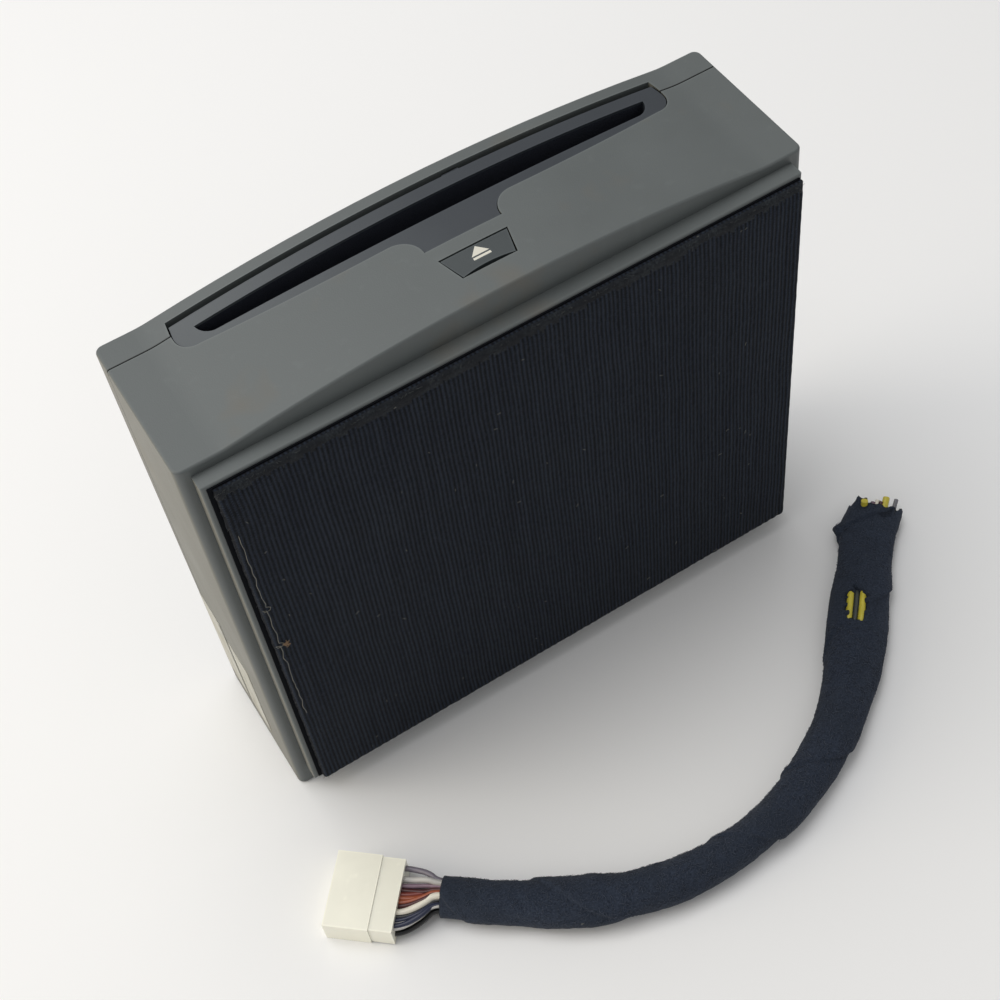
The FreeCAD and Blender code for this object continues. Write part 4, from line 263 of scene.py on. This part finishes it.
def paper_material():
    """Blank label paper, aged, smudged and creased."""
    shader = Shader("label paper", linear(168, 166, 154), 0.6)
    age = shader.ramp(shader.noise(90, 5, 0.65), 0.4, 0.72)
    base = shader.mix(age, linear(184, 183, 175), linear(162, 158, 142))
    smudges = shader.ramp(shader.noise(210, 3, 0.6, (1, 1, 0.4)), 0.6, 0.7, (0.0, 0.6))
    base = shader.mix(smudges, base, linear(112, 110, 104))
    creases = shader.ramp(shader.noise(160, 2, 0.5, (1, 1, 3)), 0.48, 0.52)
    shader.use(Base_Color=base, Normal=shader.bump(creases, 0.00005, 0.6))
    return shader.material


FINISHES = {
    "case_grey": case_plastic, "insert_blue_grey": insert_plastic, "key_grey": key_plastic,
    "symbol_cream": cream_mark, "adhesive_film": film, "hook_tape": felt, "label_white": paper_material(),
    "steel_sheet": steel, "steel_pin": pin_steel, "screw_steel": screw_steel,
    "black_plastic": black_plastic, "white_plastic": white_plastic,
    "damper_rubber": rubber, "roller_rubber": rubber, "felt_black": felt, "aluminium_plate": aluminium,
    "lens_glass": glass.material, "bronze": brass, "contact_metal": contact, "board_green": board,
    "can_metal": aluminium, "ribbon_amber": ribbon, "plug_cream": plug_plastic,
    "tape_fleece": felt, "wire_mixed": felt,
}
NODES = frame["nodes"]
for entry in frame["record"]["subparts"]:
    for slot in NODES[entry["node"]].material_slots:
        slot.material = FINISHES[entry["material_slot"]]


def add_object(name, data):
    """An object of the scene that holds a mesh, curve, light or camera."""
    added = bpy.data.objects.new(name, data)
    bpy.context.scene.collection.objects.link(added)
    return added


def new_piece(name, data):
    """A piece that rides on the case."""
    piece = add_object(name, data)
    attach(piece, "unit")
    return piece


def smooth_mesh(name, build, *materials):
    """A smooth-shaded mesh of the shape that build makes."""
    shape = bmesh.new()
    build(shape)
    bmesh.ops.recalc_face_normals(shape, faces=shape.faces)
    mesh = bpy.data.meshes.new(name)
    shape.to_mesh(mesh)
    shape.free()
    for material in materials:
        mesh.materials.append(material)
    mesh.polygons.foreach_set("use_smooth", [True] * len(mesh.polygons))
    return mesh


def new_curve(name, radius=0.0):
    curve = bpy.data.curves.new(name, "CURVE")
    curve.dimensions = "3D"
    curve.bevel_depth = radius
    return curve


def add_spline(curve, kind, places):
    """A spline of the curve that has the places as its points; a NURBS one runs smoothly past them."""
    spline = curve.splines.new(kind)
    spline.points.add(len(places) - 1)
    for point, place in zip(spline.points, places):
        point.co = (*place, 1)
    if kind == "NURBS":
        spline.order_u = 3
        spline.use_endpoint_u = True
    return spline


# The hook-tape pad: the pitch of its rows of hooks, of the hooks along a row, and of the ribs under them
ROW_PITCH, HOOK_PITCH, RIB_PITCH = 0.00124, 0.00092, 0.00248
# The pad's mesh: its step across, its step upwards as a multiple of that, and its rounded rim
PAD_STEP, PAD_STRETCH = 0.00062, 1.6
RIM_DROP, RIM_WIDTH = 0.0009, 0.0011


def hook_tape_material():
    """Rows of small hooks with painted shade in the gaps between them, uneven from row to row, with specks
    of dust.
    """
    shader = Shader("hook tape", linear(30, 35, 44), 0.92)
    axes = shader.axes()
    wander = shader.calculate("MULTIPLY", shader.noise(40, 2), 0.0012)
    across = shader.calculate("ADD", axes["X"], wander)
    rows = shader.calculate("SINE", shader.calculate("MULTIPLY", across, 2 * math.pi / ROW_PITCH))
    stitches = shader.noise(1500, 3, 0.7, (1, 1, 0.55))
    fibres = shader.noise(3800, 2, 0.8)
    patches = shader.ramp(shader.noise(34, 4, 0.6), 0.35, 0.7)
    base = shader.mix(patches, linear(16, 23, 36), linear(28, 33, 41))
    uneven = shader.ramp(shader.noise(620, 3, 0.7, (1, 1, 0.06)), 0.35, 0.65, (0.0, 0.7))
    base = shader.mix(uneven, base, linear(40, 47, 58))
    # Painted shade in the gaps between the rows of hooks
    base = shader.mix(shader.ramp(rows, -0.9, 0.3, (0.85, 0.0)), base, linear(5, 7, 12))
    climb = shader.calculate("ADD", axes["Z"], shader.calculate("MULTIPLY", stitches, 0.0006))
    waves = shader.calculate("SINE", shader.calculate("MULTIPLY", climb, 2 * math.pi / HOOK_PITCH))
    in_row = shader.ramp(waves, 0.1, 0.9, (0.1, 0.75))
    hooks = shader.calculate("MULTIPLY", shader.ramp(rows, 0.0, 0.9), in_row)
    base = shader.mix(hooks, base, linear(48, 57, 72))
    base = shader.mix(shader.ramp(stitches, 0.5, 0.75, (0.0, 0.4)), base, linear(48, 56, 70))
    dust = shader.ramp(shader.noise(520, 2, 0.6), 0.735, 0.78)
    base = shader.mix(shader.calculate("MULTIPLY", dust, 0.45), base, linear(128, 128, 120))
    height = shader.calculate("ADD", shader.calculate("MULTIPLY", rows, 0.35), stitches)
    normal = shader.bump(height, 0.00045)
    shader.use(Base_Color=base, Sheen_Weight=0.02, Sheen_Roughness=0.45, Specular_IOR_Level=0.2,
               Normal=shader.bump(fibres, 0.0002, 0.8, normal))
    return shader.material


def fuzzy_strip_material():
    """The border of the tape, worn to dark and light hairs."""
    shader = Shader("fuzzed edge", linear(50, 52, 53), 0.97)
    hairs = shader.noise(1900, 5, 0.8)
    base = shader.mix(shader.ramp(hairs, 0.35, 0.7), linear(14, 18, 24), linear(58, 63, 68))
    tufts = shader.ramp(shader.noise(240, 4, 0.6), 0.42, 0.6)
    base = shader.mix(tufts, base, linear(30, 33, 38))
    shader.use(Base_Color=base, Sheen_Weight=0.05, Specular_IOR_Level=0.2, Normal=shader.bump(hairs, 0.0005))
    return shader.material


PAD_LOW, PAD_HIGH = (Vector(corner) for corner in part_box("hook_pad"))
BORDER = 0.0042


def border_width(x):
    """The fuzzed border along the pad's upper edge, wider and narrower by turns."""
    waves = 0.35 * noise.noise(Vector((x * 130, 4.4, 0)))
    frays = 0.22 * noise.noise(Vector((x * 900, 0, 2.5)))
    return BORDER * (0.78 + waves + frays)


def pad_height(x, z):
    """How far the tape's face lies in from its box: ribs, rows of hooks and a flatter border."""
    wander = 1.6 * noise.noise(Vector((x * 18, 0, z * 9)))
    rib = 0.5 + 0.5 * math.sin(x * 2 * math.pi / RIB_PITCH + wander)
    lumps = noise.noise(Vector((x * 900, 3.1, z * 500)))
    sunk = 0.00011 * (1 - rib) + 0.00013 * lumps + 0.00014
    if PAD_HIGH.z - z < border_width(x):
        sunk += 0.00016
    edge = min(x - PAD_LOW.x, PAD_HIGH.x - x, z - PAD_LOW.z, PAD_HIGH.z - z)
    return sunk + RIM_DROP * max(0.0, 1 - edge / RIM_WIDTH) ** 2


def hook_pad_mesh(shape):
    """The tape's face as a grid with frayed left and lower edges, closed by its rim and its back."""
    columns = int((PAD_HIGH.x - PAD_LOW.x) / PAD_STEP)
    rows = int((PAD_HIGH.z - PAD_LOW.z) / PAD_STEP / PAD_STRETCH)
    grid = []
    for i in range(columns + 1):
        line = []
        for j in range(rows + 1):
            x = PAD_LOW.x + (PAD_HIGH.x - PAD_LOW.x) * i / columns
            z = PAD_LOW.z + (PAD_HIGH.z - PAD_LOW.z) * j / rows
            y = PAD_LOW.y + pad_height(x, z)
            if j == 0:
                z += 0.0005 + 0.0006 * noise.noise(Vector((x * 700, 1.7, 0)))
            if i == 0:
                x += 0.0003 + 0.0004 * noise.noise(Vector((5.2, z * 500, 0)))
            line.append(shape.verts.new((x, y, z)))
        grid.append(line)
    for i in range(columns):
        for j in range(rows):
            face = shape.faces.new((grid[i][j], grid[i + 1][j], grid[i + 1][j + 1], grid[i][j + 1]))
            place = grid[i][j].co
            face.material_index = 1 if PAD_HIGH.z - place.z < border_width(place.x) else 0
    rim = ([grid[i][0] for i in range(columns)] + [grid[columns][j] for j in range(rows)]
           + [grid[i][rows] for i in range(columns, 0, -1)] + [grid[0][j] for j in range(rows, 0, -1)])
    backs = [shape.verts.new((v.co.x, PAD_HIGH.y, v.co.z)) for v in rim]
    for k in range(len(rim)):
        n = (k + 1) % len(rim)
        shape.faces.new((rim[k], backs[k], backs[n], rim[n]))
    shape.faces.new(backs)


pad_mesh = smooth_mesh("hook_tape_pad", hook_pad_mesh, hook_tape_material(), fuzzy_strip_material())
pad = new_piece("hook_tape_pad", pad_mesh)
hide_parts("hook_pad")


# One row of random numbers serves the lint, the border's fuzz, the knot and the loom's fluff in turn
rng = random.Random(11)


def fibre_mesh(shape, count, pick, length, radius):
    """Short bent fibres lying on a surface; pick gives a place and its outward direction."""
    for _ in range(count):
        place, out = pick()
        along = Vector((rng.uniform(-1, 1), rng.uniform(-1, 1), rng.uniform(-1, 1)))
        along = (along - out * along.dot(out)).normalized()
        side = out.cross(along)
        reach = length * rng.uniform(0.4, 1.2)
        bend = rng.uniform(-0.5, 0.5)
        rings = []
        for k in range(6):
            t = k / 5 - 0.5
            lift = out * radius * (1.5 + 2 * k % 3)
            centre = place + along * reach * t + side * reach * bend * (t * t - 0.1) + lift
            rings.append([shape.verts.new(centre + (side * math.cos(a) + out * math.sin(a)) * radius)
                          for a in (0.5, 2.6, 4.7)])
        for first, second in zip(rings, rings[1:]):
            for k in range(3):
                shape.faces.new((first[k], first[(k + 1) % 3], second[(k + 1) % 3], second[k]))


def fibres(name, slot, material, count, pick, length, radius):
    """Fibres as one piece of their own."""
    mesh = smooth_mesh(name, lambda shape: fibre_mesh(shape, count, pick, length, radius), material)
    return new_piece(name, mesh)


def fibre_material(name, colour, dark, light, scale=700, roughness=0.95):
    shader = Shader(name, colour, roughness)
    shader.use(Base_Color=shader.mix(shader.noise(scale), dark, light))
    return shader.material


def on_pad():
    x = rng.uniform(PAD_LOW.x + 0.002, PAD_HIGH.x - 0.002)
    z = rng.uniform(PAD_LOW.z + 0.002, PAD_HIGH.z - 0.002)
    return Vector((x, PAD_LOW.y + 0.0002, z)), Vector((0, -1, 0))


def on_pad_border():
    """A place on the fuzzed border, along the pad's upper edge or its left one."""
    if rng.random() < 0.6:
        place = Vector((rng.uniform(PAD_LOW.x, PAD_HIGH.x), 0, PAD_HIGH.z - rng.uniform(0.0002, 0.004)))
    else:
        place = Vector((PAD_LOW.x + rng.uniform(0.0002, 0.003), 0, rng.uniform(PAD_LOW.z, PAD_HIGH.z)))
    place.y = PAD_LOW.y + 0.0006
    return place, Vector((0, -1, 0))


lint = fibre_material("lint", linear(126, 126, 118), linear(96, 98, 96), linear(176, 172, 158), 500, 0.9)
fibres("lint_on_pad", "hook_tape", lint, count=48, pick=on_pad, length=0.0012, radius=0.00005)
fuzz = fibre_material("edge fuzz", linear(60, 62, 64), linear(34, 36, 40), linear(96, 98, 96))
fibres("fuzz_on_border", "hook_tape", fuzz, count=900, pick=on_pad_border, length=0.0012, radius=0.00004)

# The loose thread: the height of its ends, its radius, how far in from the pad's edge it lies, how many
# steps it has, and the steps at which it makes a small loop
THREAD_TOP, THREAD_LOW = 0.136, 0.048
THREAD_RADIUS, THREAD_INSET = 0.00007, 0.0019
THREAD_STEPS, THREAD_LOOPS = 60, (22, 34)
# The place of a small knot of brown fluff caught on the hooks
KNOT_X, KNOT_Z = -0.0794, 0.0842


def loose_thread():
    """A thin light thread that has come loose along the pad's left edge, with two small loops."""
    places = []
    for step in range(THREAD_STEPS + 1):
        z = THREAD_TOP + (THREAD_LOW - THREAD_TOP) * step / THREAD_STEPS
        x = PAD_LOW.x + THREAD_INSET + 0.0007 * noise.noise(Vector((z * 260, 8.1, 0)))
        places.append((x, PAD_LOW.y + 0.0001, z))
        if step in THREAD_LOOPS:
            places += [(x + 0.0012 * math.cos(a), PAD_LOW.y + 0.00004, z - 0.001 + 0.001 * math.sin(a))
                       for a in (1.2, 0.2, -0.9, -2.2, -3.4)]
    curve = new_curve("loose_thread", THREAD_RADIUS)
    curve.bevel_resolution = 1
    curve.materials.append(lint)
    add_spline(curve, "POLY", places)
    new_piece("loose_thread", curve)


def on_knot():
    x = KNOT_X + rng.uniform(-0.0003, 0.0003)
    z = KNOT_Z + rng.uniform(-0.001, 0.001)
    return Vector((x, PAD_LOW.y + 0.0002, z)), Vector((0, -1, 0))


loose_thread()
brown = fibre_material("brown fluff", linear(146, 116, 86), linear(112, 84, 60), linear(176, 148, 118),
                       roughness=0.9)
fibres("knot_on_pad", "hook_tape", brown, count=12, pick=on_knot, length=0.0018, radius=0.0001)


# The taped loom and its plug

def line_points():
    """Points read from the smooth line that the route's spline gives."""
    curve = new_curve("loom_route")
    curve.resolution_u = 48
    add_spline(curve, "NURBS", LOOM_ROUTE)
    holder = add_object("route", curve)
    bpy.context.view_layer.update()
    mesh = bpy.data.meshes.new_from_object(holder)
    points = [vertex.co.copy() for vertex in mesh.vertices]
    bpy.data.objects.remove(holder)
    bpy.data.meshes.remove(mesh)
    return points


LOOM_LINE = line_points()
UP = Vector((0, 0, 1))


def along_line():
    """Places on the loom's line, each with the way it runs, the way across it and the length so far.

    The line's points are already closer than a millimetre. The tape's fine ribs need rings three times
    as close, so each short step of the smooth line holds two more.
    """
    places = [a.lerp(b, k / 3) for a, b in zip(LOOM_LINE, LOOM_LINE[1:]) for k in range(3)]
    places.append(LOOM_LINE[-1])
    last = len(places) - 1
    travelled, stations = 0.0, []
    for index, centre in enumerate(places):
        if index:
            travelled += (centre - places[index - 1]).length
        ahead = (places[min(index + 1, last)] - places[max(index - 1, 0)]).normalized()
        stations.append((centre, ahead, UP.cross(ahead).normalized(), travelled))
    return stations


STATIONS = along_line()
LOOM_END = STATIONS[-1][3]


def loom_section(share):
    """Half the width and half the height of the loom at a share of its length."""
    for (low, *first), (high, *second) in zip(LOOM_SECTIONS, LOOM_SECTIONS[1:]):
        if share <= high:
            t = (share - low) / (high - low)
            t = t * t * (3 - 2 * t)
            return [a + (b - a) * t for a, b in zip(first, second)]
    return LOOM_SECTIONS[-1][1:]


# The tear in the tape near the far end: where it is along the loom and across it, its half sizes, its depth
TEAR_PLACE, TEAR_ACROSS = 0.1785, 0.0012
TEAR_HALF_LENGTH, TEAR_HALF_WIDTH = 0.0060, 0.0034
TEAR_DEPTH = 0.0016
# How far the tape moves on with each turn round the loom, the step at its lap, the pitch of its cross ribs
TAPE_PITCH, TAPE_STEP = 0.043, 0.0009
TAPE_RIB = 0.00105
# The tape's far end: how much of it is flared, the flare outwards and inwards as shares of its width, the
# spike on its inner side (distance from the end, half length, height), and how much of it is torn
FLARED_END, FLARE_OUT, FLARE_IN = 0.009, 0.09, -0.30
SPIKE_PLACE, SPIKE_HALF, SPIKE_HEIGHT = 0.0085, 0.0026, 0.0015
TORN_END = 0.005
# The tape's mouths: the width of the inner ring as a share, and how deep it lies
MOUTH_SHARE, MOUTH_DEPTH = 0.86, 0.0035
LOOM_SIDES = 72


def tear_depth(travelled, sideways):
    """How deep the tear is at a place on the loom's upper side, with a ragged rim."""
    way = math.hypot((travelled - TEAR_PLACE) / TEAR_HALF_LENGTH, (sideways - TEAR_ACROSS) / TEAR_HALF_WIDTH)
    way += 0.5 * noise.noise(Vector((travelled * 520, sideways * 700, 2.0)))
    return TEAR_DEPTH * min(1.0, max(0.0, (1.0 - way) / 0.18))


def loom_point(centre, across, travelled, angle):
    """A place on the tape: laps of the tape, lumps, fine cross ribs, the tear, and a torn end."""
    width, height = loom_section(travelled / LOOM_END)
    sway = 0.30 + 0.16 * math.sin(travelled * 60)
    turn = (travelled / TAPE_PITCH - angle / (2 * math.pi) + sway) % 1.0
    lap = TAPE_STEP * ((1 - turn) if turn > 0.02 else turn / 0.02)
    around = Vector((math.cos(angle), math.sin(angle), 0)) * 1.1
    lump = 0.0006 * noise.noise(Vector((travelled * 80, around.x, around.y)))
    lump += 0.00016 * noise.noise(Vector((travelled * 420, around.x * 4, around.y * 4)))
    ripple = noise.noise(Vector((travelled * 130, around.x * 2, around.y * 2)))
    strength = max(0.0, min(1.0, (travelled - 0.07) / 0.08)) * (0.6 + ripple)
    rib = 0.00006 * math.sin(2 * math.pi * travelled / TAPE_RIB + 5 * ripple) * strength
    proud = lap + lump + rib - 0.0004
    sideways, rise = math.cos(angle) * (width + proud), math.sin(angle) * (height + proud)
    if rise > 0:
        rise -= tear_depth(travelled, sideways)
    left = LOOM_END - travelled
    flare = max(0.0, 1 - left / FLARED_END)
    sideways *= 1 + (FLARE_OUT * flare if sideways < 0 else FLARE_IN * flare)
    spike = max(0.0, 1 - abs(left - SPIKE_PLACE) / SPIKE_HALF)
    if math.cos(angle) > 0.93:
        sideways += SPIKE_HEIGHT * spike
    place = centre + across * sideways + UP * rise
    place.z = max(place.z, 0.0002)
    return place


def torn_edge(angle):
    """How far the end of the tape is torn back or forward, round the loom."""
    side = math.cos(angle)
    jag = noise.noise(Vector((side * 5.5, math.sin(angle) * 5.5, 7.3)))
    inner = min(1.0, max(0.0, (side - 0.08) / 0.1)) * min(1.0, max(0.0, (0.98 - side) / 0.4))
    outer = max(0.0, -side - 0.86) / 0.14
    return 0.0012 * jag + 0.0026 * inner + 0.0018 * outer


def loom_mesh(shape):
    """The wound tape as rings along its line, turned in a little at both mouths and closed there."""
    rings = []
    for centre, ahead, across, travelled in STATIONS:
        torn = max(0.0, 1 - (LOOM_END - travelled) / TORN_END)
        ring = []
        for k in range(LOOM_SIDES):
            angle = 2 * math.pi * k / LOOM_SIDES
            place = loom_point(centre, across, travelled, angle)
            ring.append(shape.verts.new(place + ahead * torn_edge(angle) * torn))
        rings.append(ring)
    for first, second in zip(rings, rings[1:]):
        for k in range(LOOM_SIDES):
            n = (k + 1) % LOOM_SIDES
            shape.faces.new((first[k], first[n], second[n], second[k]))
    for ring, station, inward in ((rings[0], STATIONS[0], 1), (rings[-1], STATIONS[-1], -1)):
        centre, ahead = station[0], station[1]
        inner = [shape.verts.new(centre + (v.co - centre) * MOUTH_SHARE + ahead * MOUTH_DEPTH * inward)
                 for v in ring]
        for k in range(LOOM_SIDES):
            n = (k + 1) % LOOM_SIDES
            shape.faces.new((ring[k], ring[n], inner[n], inner[k]))
        shape.faces.new(inner)


def tape_material():
    """Fleece tape with fibres, specks and painted shade in its folds and lap steps."""
    shader = Shader("fleece tape", linear(34, 36, 41), 0.97)
    fibres = shader.noise(2100, 5, 0.8)
    weave = shader.noise(800, 3, 0.6)
    patches = shader.noise(70, 3)
    base = shader.mix(shader.ramp(fibres, 0.35, 0.7), linear(22, 28, 40), linear(66, 75, 91))
    base = shader.mix(shader.ramp(patches, 0.4, 0.7, (0.0, 0.4)), base, linear(40, 46, 54))
    specks = shader.ramp(shader.noise(430, 2, 0.6), 0.76, 0.79)
    base = shader.mix(shader.calculate("MULTIPLY", specks, 0.5), base, linear(140, 140, 134))
    # Painted shade in the folds and lap steps: darker where ambient occlusion is strong
    painted_fold_shade = shader.add("AmbientOcclusion", {"Distance": 0.0016}, samples=6).outputs["AO"]
    base = shader.mix(shader.ramp(painted_fold_shade, 0.45, 0.9, (0.8, 0.0)), base, linear(7, 9, 14))
    normal = shader.bump(weave, 0.0004, 0.7)
    shader.use(Base_Color=base, Sheen_Weight=0.05, Sheen_Roughness=0.5, Specular_IOR_Level=0.2,
               Normal=shader.bump(fibres, 0.0003, 0.9, normal))
    return shader.material


loom = new_piece("taped_loom", smooth_mesh("taped_loom", loom_mesh, tape_material()))
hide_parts("harness_loom")


def on_loom():
    """A place on the upper half of the loom, clear of the tear and the ends."""
    while True:
        centre, _, across, travelled = rng.choice(STATIONS)
        beside_tear = abs(travelled - TEAR_PLACE) > TEAR_HALF_LENGTH * 1.2
        if 0.004 < travelled < LOOM_END - 0.006 and beside_tear:
            break
    angle = rng.uniform(0.1, math.pi - 0.1)
    width, height = loom_section(travelled / LOOM_END)
    out = (across * math.cos(angle) * height + UP * math.sin(angle) * width).normalized()
    return loom_point(centre, across, travelled, angle), out


down = fibre_material("tape fluff", linear(70, 76, 86), linear(44, 51, 64), linear(92, 101, 118))
fluff = fibres("fluff_on_tape", "tape_fleece", down, count=2600, pick=on_loom, length=0.0014, radius=0.00005)

WIRE_COLOURS = {
    "grey": linear(112, 112, 118), "light": linear(186, 184, 180), "mauve": linear(128, 104, 118),
    "grey_mauve": linear(118, 112, 122), "dark_red": linear(74, 34, 34), "red_brown": linear(124, 56, 46),
    "orange_brown": linear(158, 84, 56), "white": linear(232, 226, 210), "black": linear(30, 30, 32),
    "navy": linear(36, 42, 66), "olive": linear(64, 66, 50), "yellow": linear(204, 190, 66),
    "dark_grey": linear(66, 70, 66),
}


def wire_material(name, colour):
    shader = Shader("wire " + name, colour, 0.35)
    marks = shader.noise(400, 3)
    shader.use(Base_Color=shader.mix(marks, scaled(colour, 0.8), scaled(colour, 1.15)),
               Normal=shader.bump(marks, 0.00002))
    return shader.material


WIRES = {name: wire_material(name, colour) for name, colour in WIRE_COLOURS.items()}


def wires(name, runs):
    """Round wires as one piece: each run has its points, its colour and its radius."""
    colours = sorted({colour for _, colour, _ in runs})
    curve = new_curve(name, 0.001)
    curve.bevel_resolution = 4
    curve.use_fill_caps = True
    for colour in colours:
        curve.materials.append(WIRES[colour])
    for points, colour, radius in runs:
        spline = add_spline(curve, "NURBS", points)
        for point in spline.points:
            point.radius = radius / curve.bevel_depth
        spline.material_index = colours.index(colour)
    return new_piece(name, curve)


plug_axes = Matrix.Rotation(PLUG_TURN, 3, "Z")
plug_along, plug_across = plug_axes @ Vector((1, 0, 0)), plug_axes @ Vector((0, 1, 0))
loom_start, start_along, start_across, _ = STATIONS[0]
wire_rng = random.Random(5)
# Half the width that the wires take up at the plug and in the loom's mouth, and the height of a row at
# the plug above its middle
WIRES_AT_PLUG, WIRES_IN_MOUTH, ROW_HEIGHT = 0.0098, 0.0047, 0.0018
# The wires at the plug's back, from its upper end in the photograph to its lower one: colour, place across
# the plug, place across the loom's mouth, each as a share of its half width, row, and radius
UPPER, LOWER = 1, -1
PLUG_WIRES = [
    ("grey_mauve", 0.95, 0.84, UPPER, 0.00085), ("light", 0.60, 0.68, UPPER, 0.0009),
    ("light", 0.48, 0.54, LOWER, 0.0008), ("mauve", 0.40, 0.50, UPPER, 0.0007),
    ("light", 0.33, 0.38, LOWER, 0.0007), ("dark_red", 0.26, 0.36, UPPER, 0.0007),
    ("black", 0.18, 0.24, LOWER, 0.0007), ("red_brown", 0.12, 0.30, UPPER, 0.0008),
    ("orange_brown", 0.01, 0.22, UPPER, 0.0008), ("red_brown", -0.06, 0.10, LOWER, 0.0008),
    ("orange_brown", -0.12, 0.13, UPPER, 0.0008), ("dark_red", -0.23, 0.04, UPPER, 0.0007),
    ("black", -0.34, -0.10, LOWER, 0.0008), ("white", -0.44, -0.04, UPPER, 0.0011),
    ("black", -0.57, -0.24, UPPER, 0.0008), ("navy", -0.67, -0.36, UPPER, 0.0007),
    ("olive", -0.70, -0.48, LOWER, 0.0008), ("light", -0.77, -0.45, UPPER, 0.0004),
    ("navy", -0.84, -0.56, UPPER, 0.0008), ("black", -0.92, -0.70, LOWER, 0.0008),
    ("light", -0.94, -0.68, UPPER, 0.0004),
]
runs = []
for colour, at_plug, at_loom, row, radius in PLUG_WIRES:
    back = PLUG_MIDDLE + plug_along * (PLUG_HALF - 0.0008)
    start = back + plug_across * at_plug * WIRES_AT_PLUG + UP * ROW_HEIGHT * row
    mouth = loom_start + start_along * 0.004
    end = mouth + start_across * at_loom * WIRES_IN_MOUTH + UP * row * wire_rng.uniform(0.0010, 0.0024)
    sway = plug_across * wire_rng.uniform(-0.0006, 0.0006) + UP * wire_rng.uniform(-0.0004, 0.0014)
    middle = start.lerp(end, 0.5) + sway
    points = [start, start + plug_along * 0.0026, middle, end - start_along * 0.006, end]
    runs.append((points, colour, radius))
plug_wires = wires("wires_at_plug", runs)
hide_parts("plug_wires")

loom_tip, end_along, end_across, _ = STATIONS[-1]
# The cut wires at the far end: colour, place across, height above the middle, how far they go beyond the
# tape's end, how much they rise on the way, and radius
CUT_WIRES = [
    ("yellow", 0.0018, 0.0012, 0.0000, 0.0040, 0.0011),
    ("mauve", -0.0008, 0.0016, 0.0018, 0.0010, 0.0007),
    ("white", -0.0020, 0.0020, 0.0026, 0.0006, 0.0006),
    ("light", -0.0026, 0.0006, 0.0034, 0.0004, 0.0008),
    ("dark_red", -0.0032, 0.0016, 0.0022, 0.0008, 0.0007),
    ("yellow", -0.0046, 0.0014, 0.0042, 0.0008, 0.0011),
    ("grey", -0.0076, 0.0006, 0.0046, 0.0006, 0.0007),
    ("olive", 0.0040, -0.0006, 0.0024, 0.0002, 0.0008),
    ("navy", -0.0060, -0.0010, 0.0016, 0.0002, 0.0008),
]
runs = []
for colour, sideways, height, reach, rise, radius in CUT_WIRES:
    root = loom_tip - end_along * 0.006 + end_across * sideways * 0.75 + UP * height * 0.3
    edge = loom_tip + end_across * sideways * 0.95 + UP * height - end_along * 0.001
    tip = loom_tip + end_across * sideways * 1.05 + UP * (height + rise) + end_along * reach
    runs.append(([root, edge, edge.lerp(tip, 0.6), tip], colour, radius))
cut_wires = wires("cut_wires", runs)
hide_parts("wire_ends")

# The wires that show in the tear: colour, place across from the tear's middle, radius
TEAR_WIRES = [("yellow", 0.0019, 0.0011), ("dark_grey", 0.0, 0.0007), ("yellow", -0.0019, 0.0011)]
runs = []
for colour, sideways, radius in TEAR_WIRES:
    points = []
    for step in (-1.35, -0.9, 0.0, 0.9, 1.35):
        travelled = TEAR_PLACE + step * TEAR_HALF_LENGTH
        centre, _, across, _ = min(STATIONS, key=lambda station: abs(station[3] - travelled))
        height = loom_section(travelled / LOOM_END)[1]
        sunk = TEAR_DEPTH + (0.0012 if abs(step) > 1 else -0.0004)
        points.append(centre + across * (TEAR_ACROSS + sideways) + UP * (height - sunk - 0.0003))
    runs.append((points, colour, radius))
tear_wires = wires("wires_in_tear", runs)


# Floor, light and camera: the camera's place, the directions of the picture's right, down and depth, and
# its lens in millimetres, all as solved from the photograph's perspective
CAMERA_PLACE = (-0.12307, -0.27833, 0.47639)
CAMERA_RIGHT = Vector((0.85053, -0.51741, -0.09429))
CAMERA_DOWN = Vector((-0.47035, -0.66810, -0.57655))
CAMERA_DEPTH = Vector((0.23531, 0.53472, -0.81160))
CAMERA_LENS = 63.59


def floor():
    """A plain pale floor, which isn't part of the object."""
    def grid(shape):
        bmesh.ops.create_grid(shape, x_segments=1, y_segments=1, size=3.0)

    shader = Shader("floor", linear(245, 245, 245), 0.9)
    shader.use(Base_Color=shader.mix(shader.noise(3, 2), linear(244, 244, 244), linear(246, 246, 246)))
    add_object("floor", smooth_mesh("floor", grid, shader.material))


def area_light(name, place, target, size, power, colour=(1, 1, 1)):
    """A soft square light that faces its target."""
    light = bpy.data.lights.new(name, "AREA")
    light.size, light.energy, light.color = size, power, colour
    holder = add_object(name, light)
    holder.location = place
    holder.rotation_euler = (Vector(target) - Vector(place)).to_track_quat("-Z", "Y").to_euler()


def camera():
    lens = bpy.data.cameras.new("camera")
    lens.sensor_width, lens.lens = 36.0, CAMERA_LENS
    lens.clip_start, lens.clip_end = 0.01, 20.0
    holder = add_object("camera", lens)
    turn = Matrix((CAMERA_RIGHT, -CAMERA_DOWN, -CAMERA_DEPTH)).transposed().to_4x4()
    holder.matrix_world = Matrix.Translation(CAMERA_PLACE) @ turn
    bpy.context.scene.camera = holder


def even_light(strength):
    """Even white light from all round."""
    world = bpy.data.worlds.new("world")
    world.use_nodes = True
    background = world.node_tree.nodes["Background"]
    background.inputs["Color"].default_value = (1.0, 1.0, 1.0, 1.0)
    background.inputs["Strength"].default_value = strength
    bpy.context.scene.world = world


floor()
camera()
even_light(0.42)
PLAYER_MIDDLE = (0, 0, 0.08)
area_light("key", (-0.30, 0.40, 1.30), PLAYER_MIDDLE, size=1.2, power=11)
area_light("side", (-1.15, 0.35, 0.45), PLAYER_MIDDLE, size=0.8, power=6.2, colour=(1.0, 0.91, 0.75))
bpy.context.scene.view_settings.view_transform = "Standard"
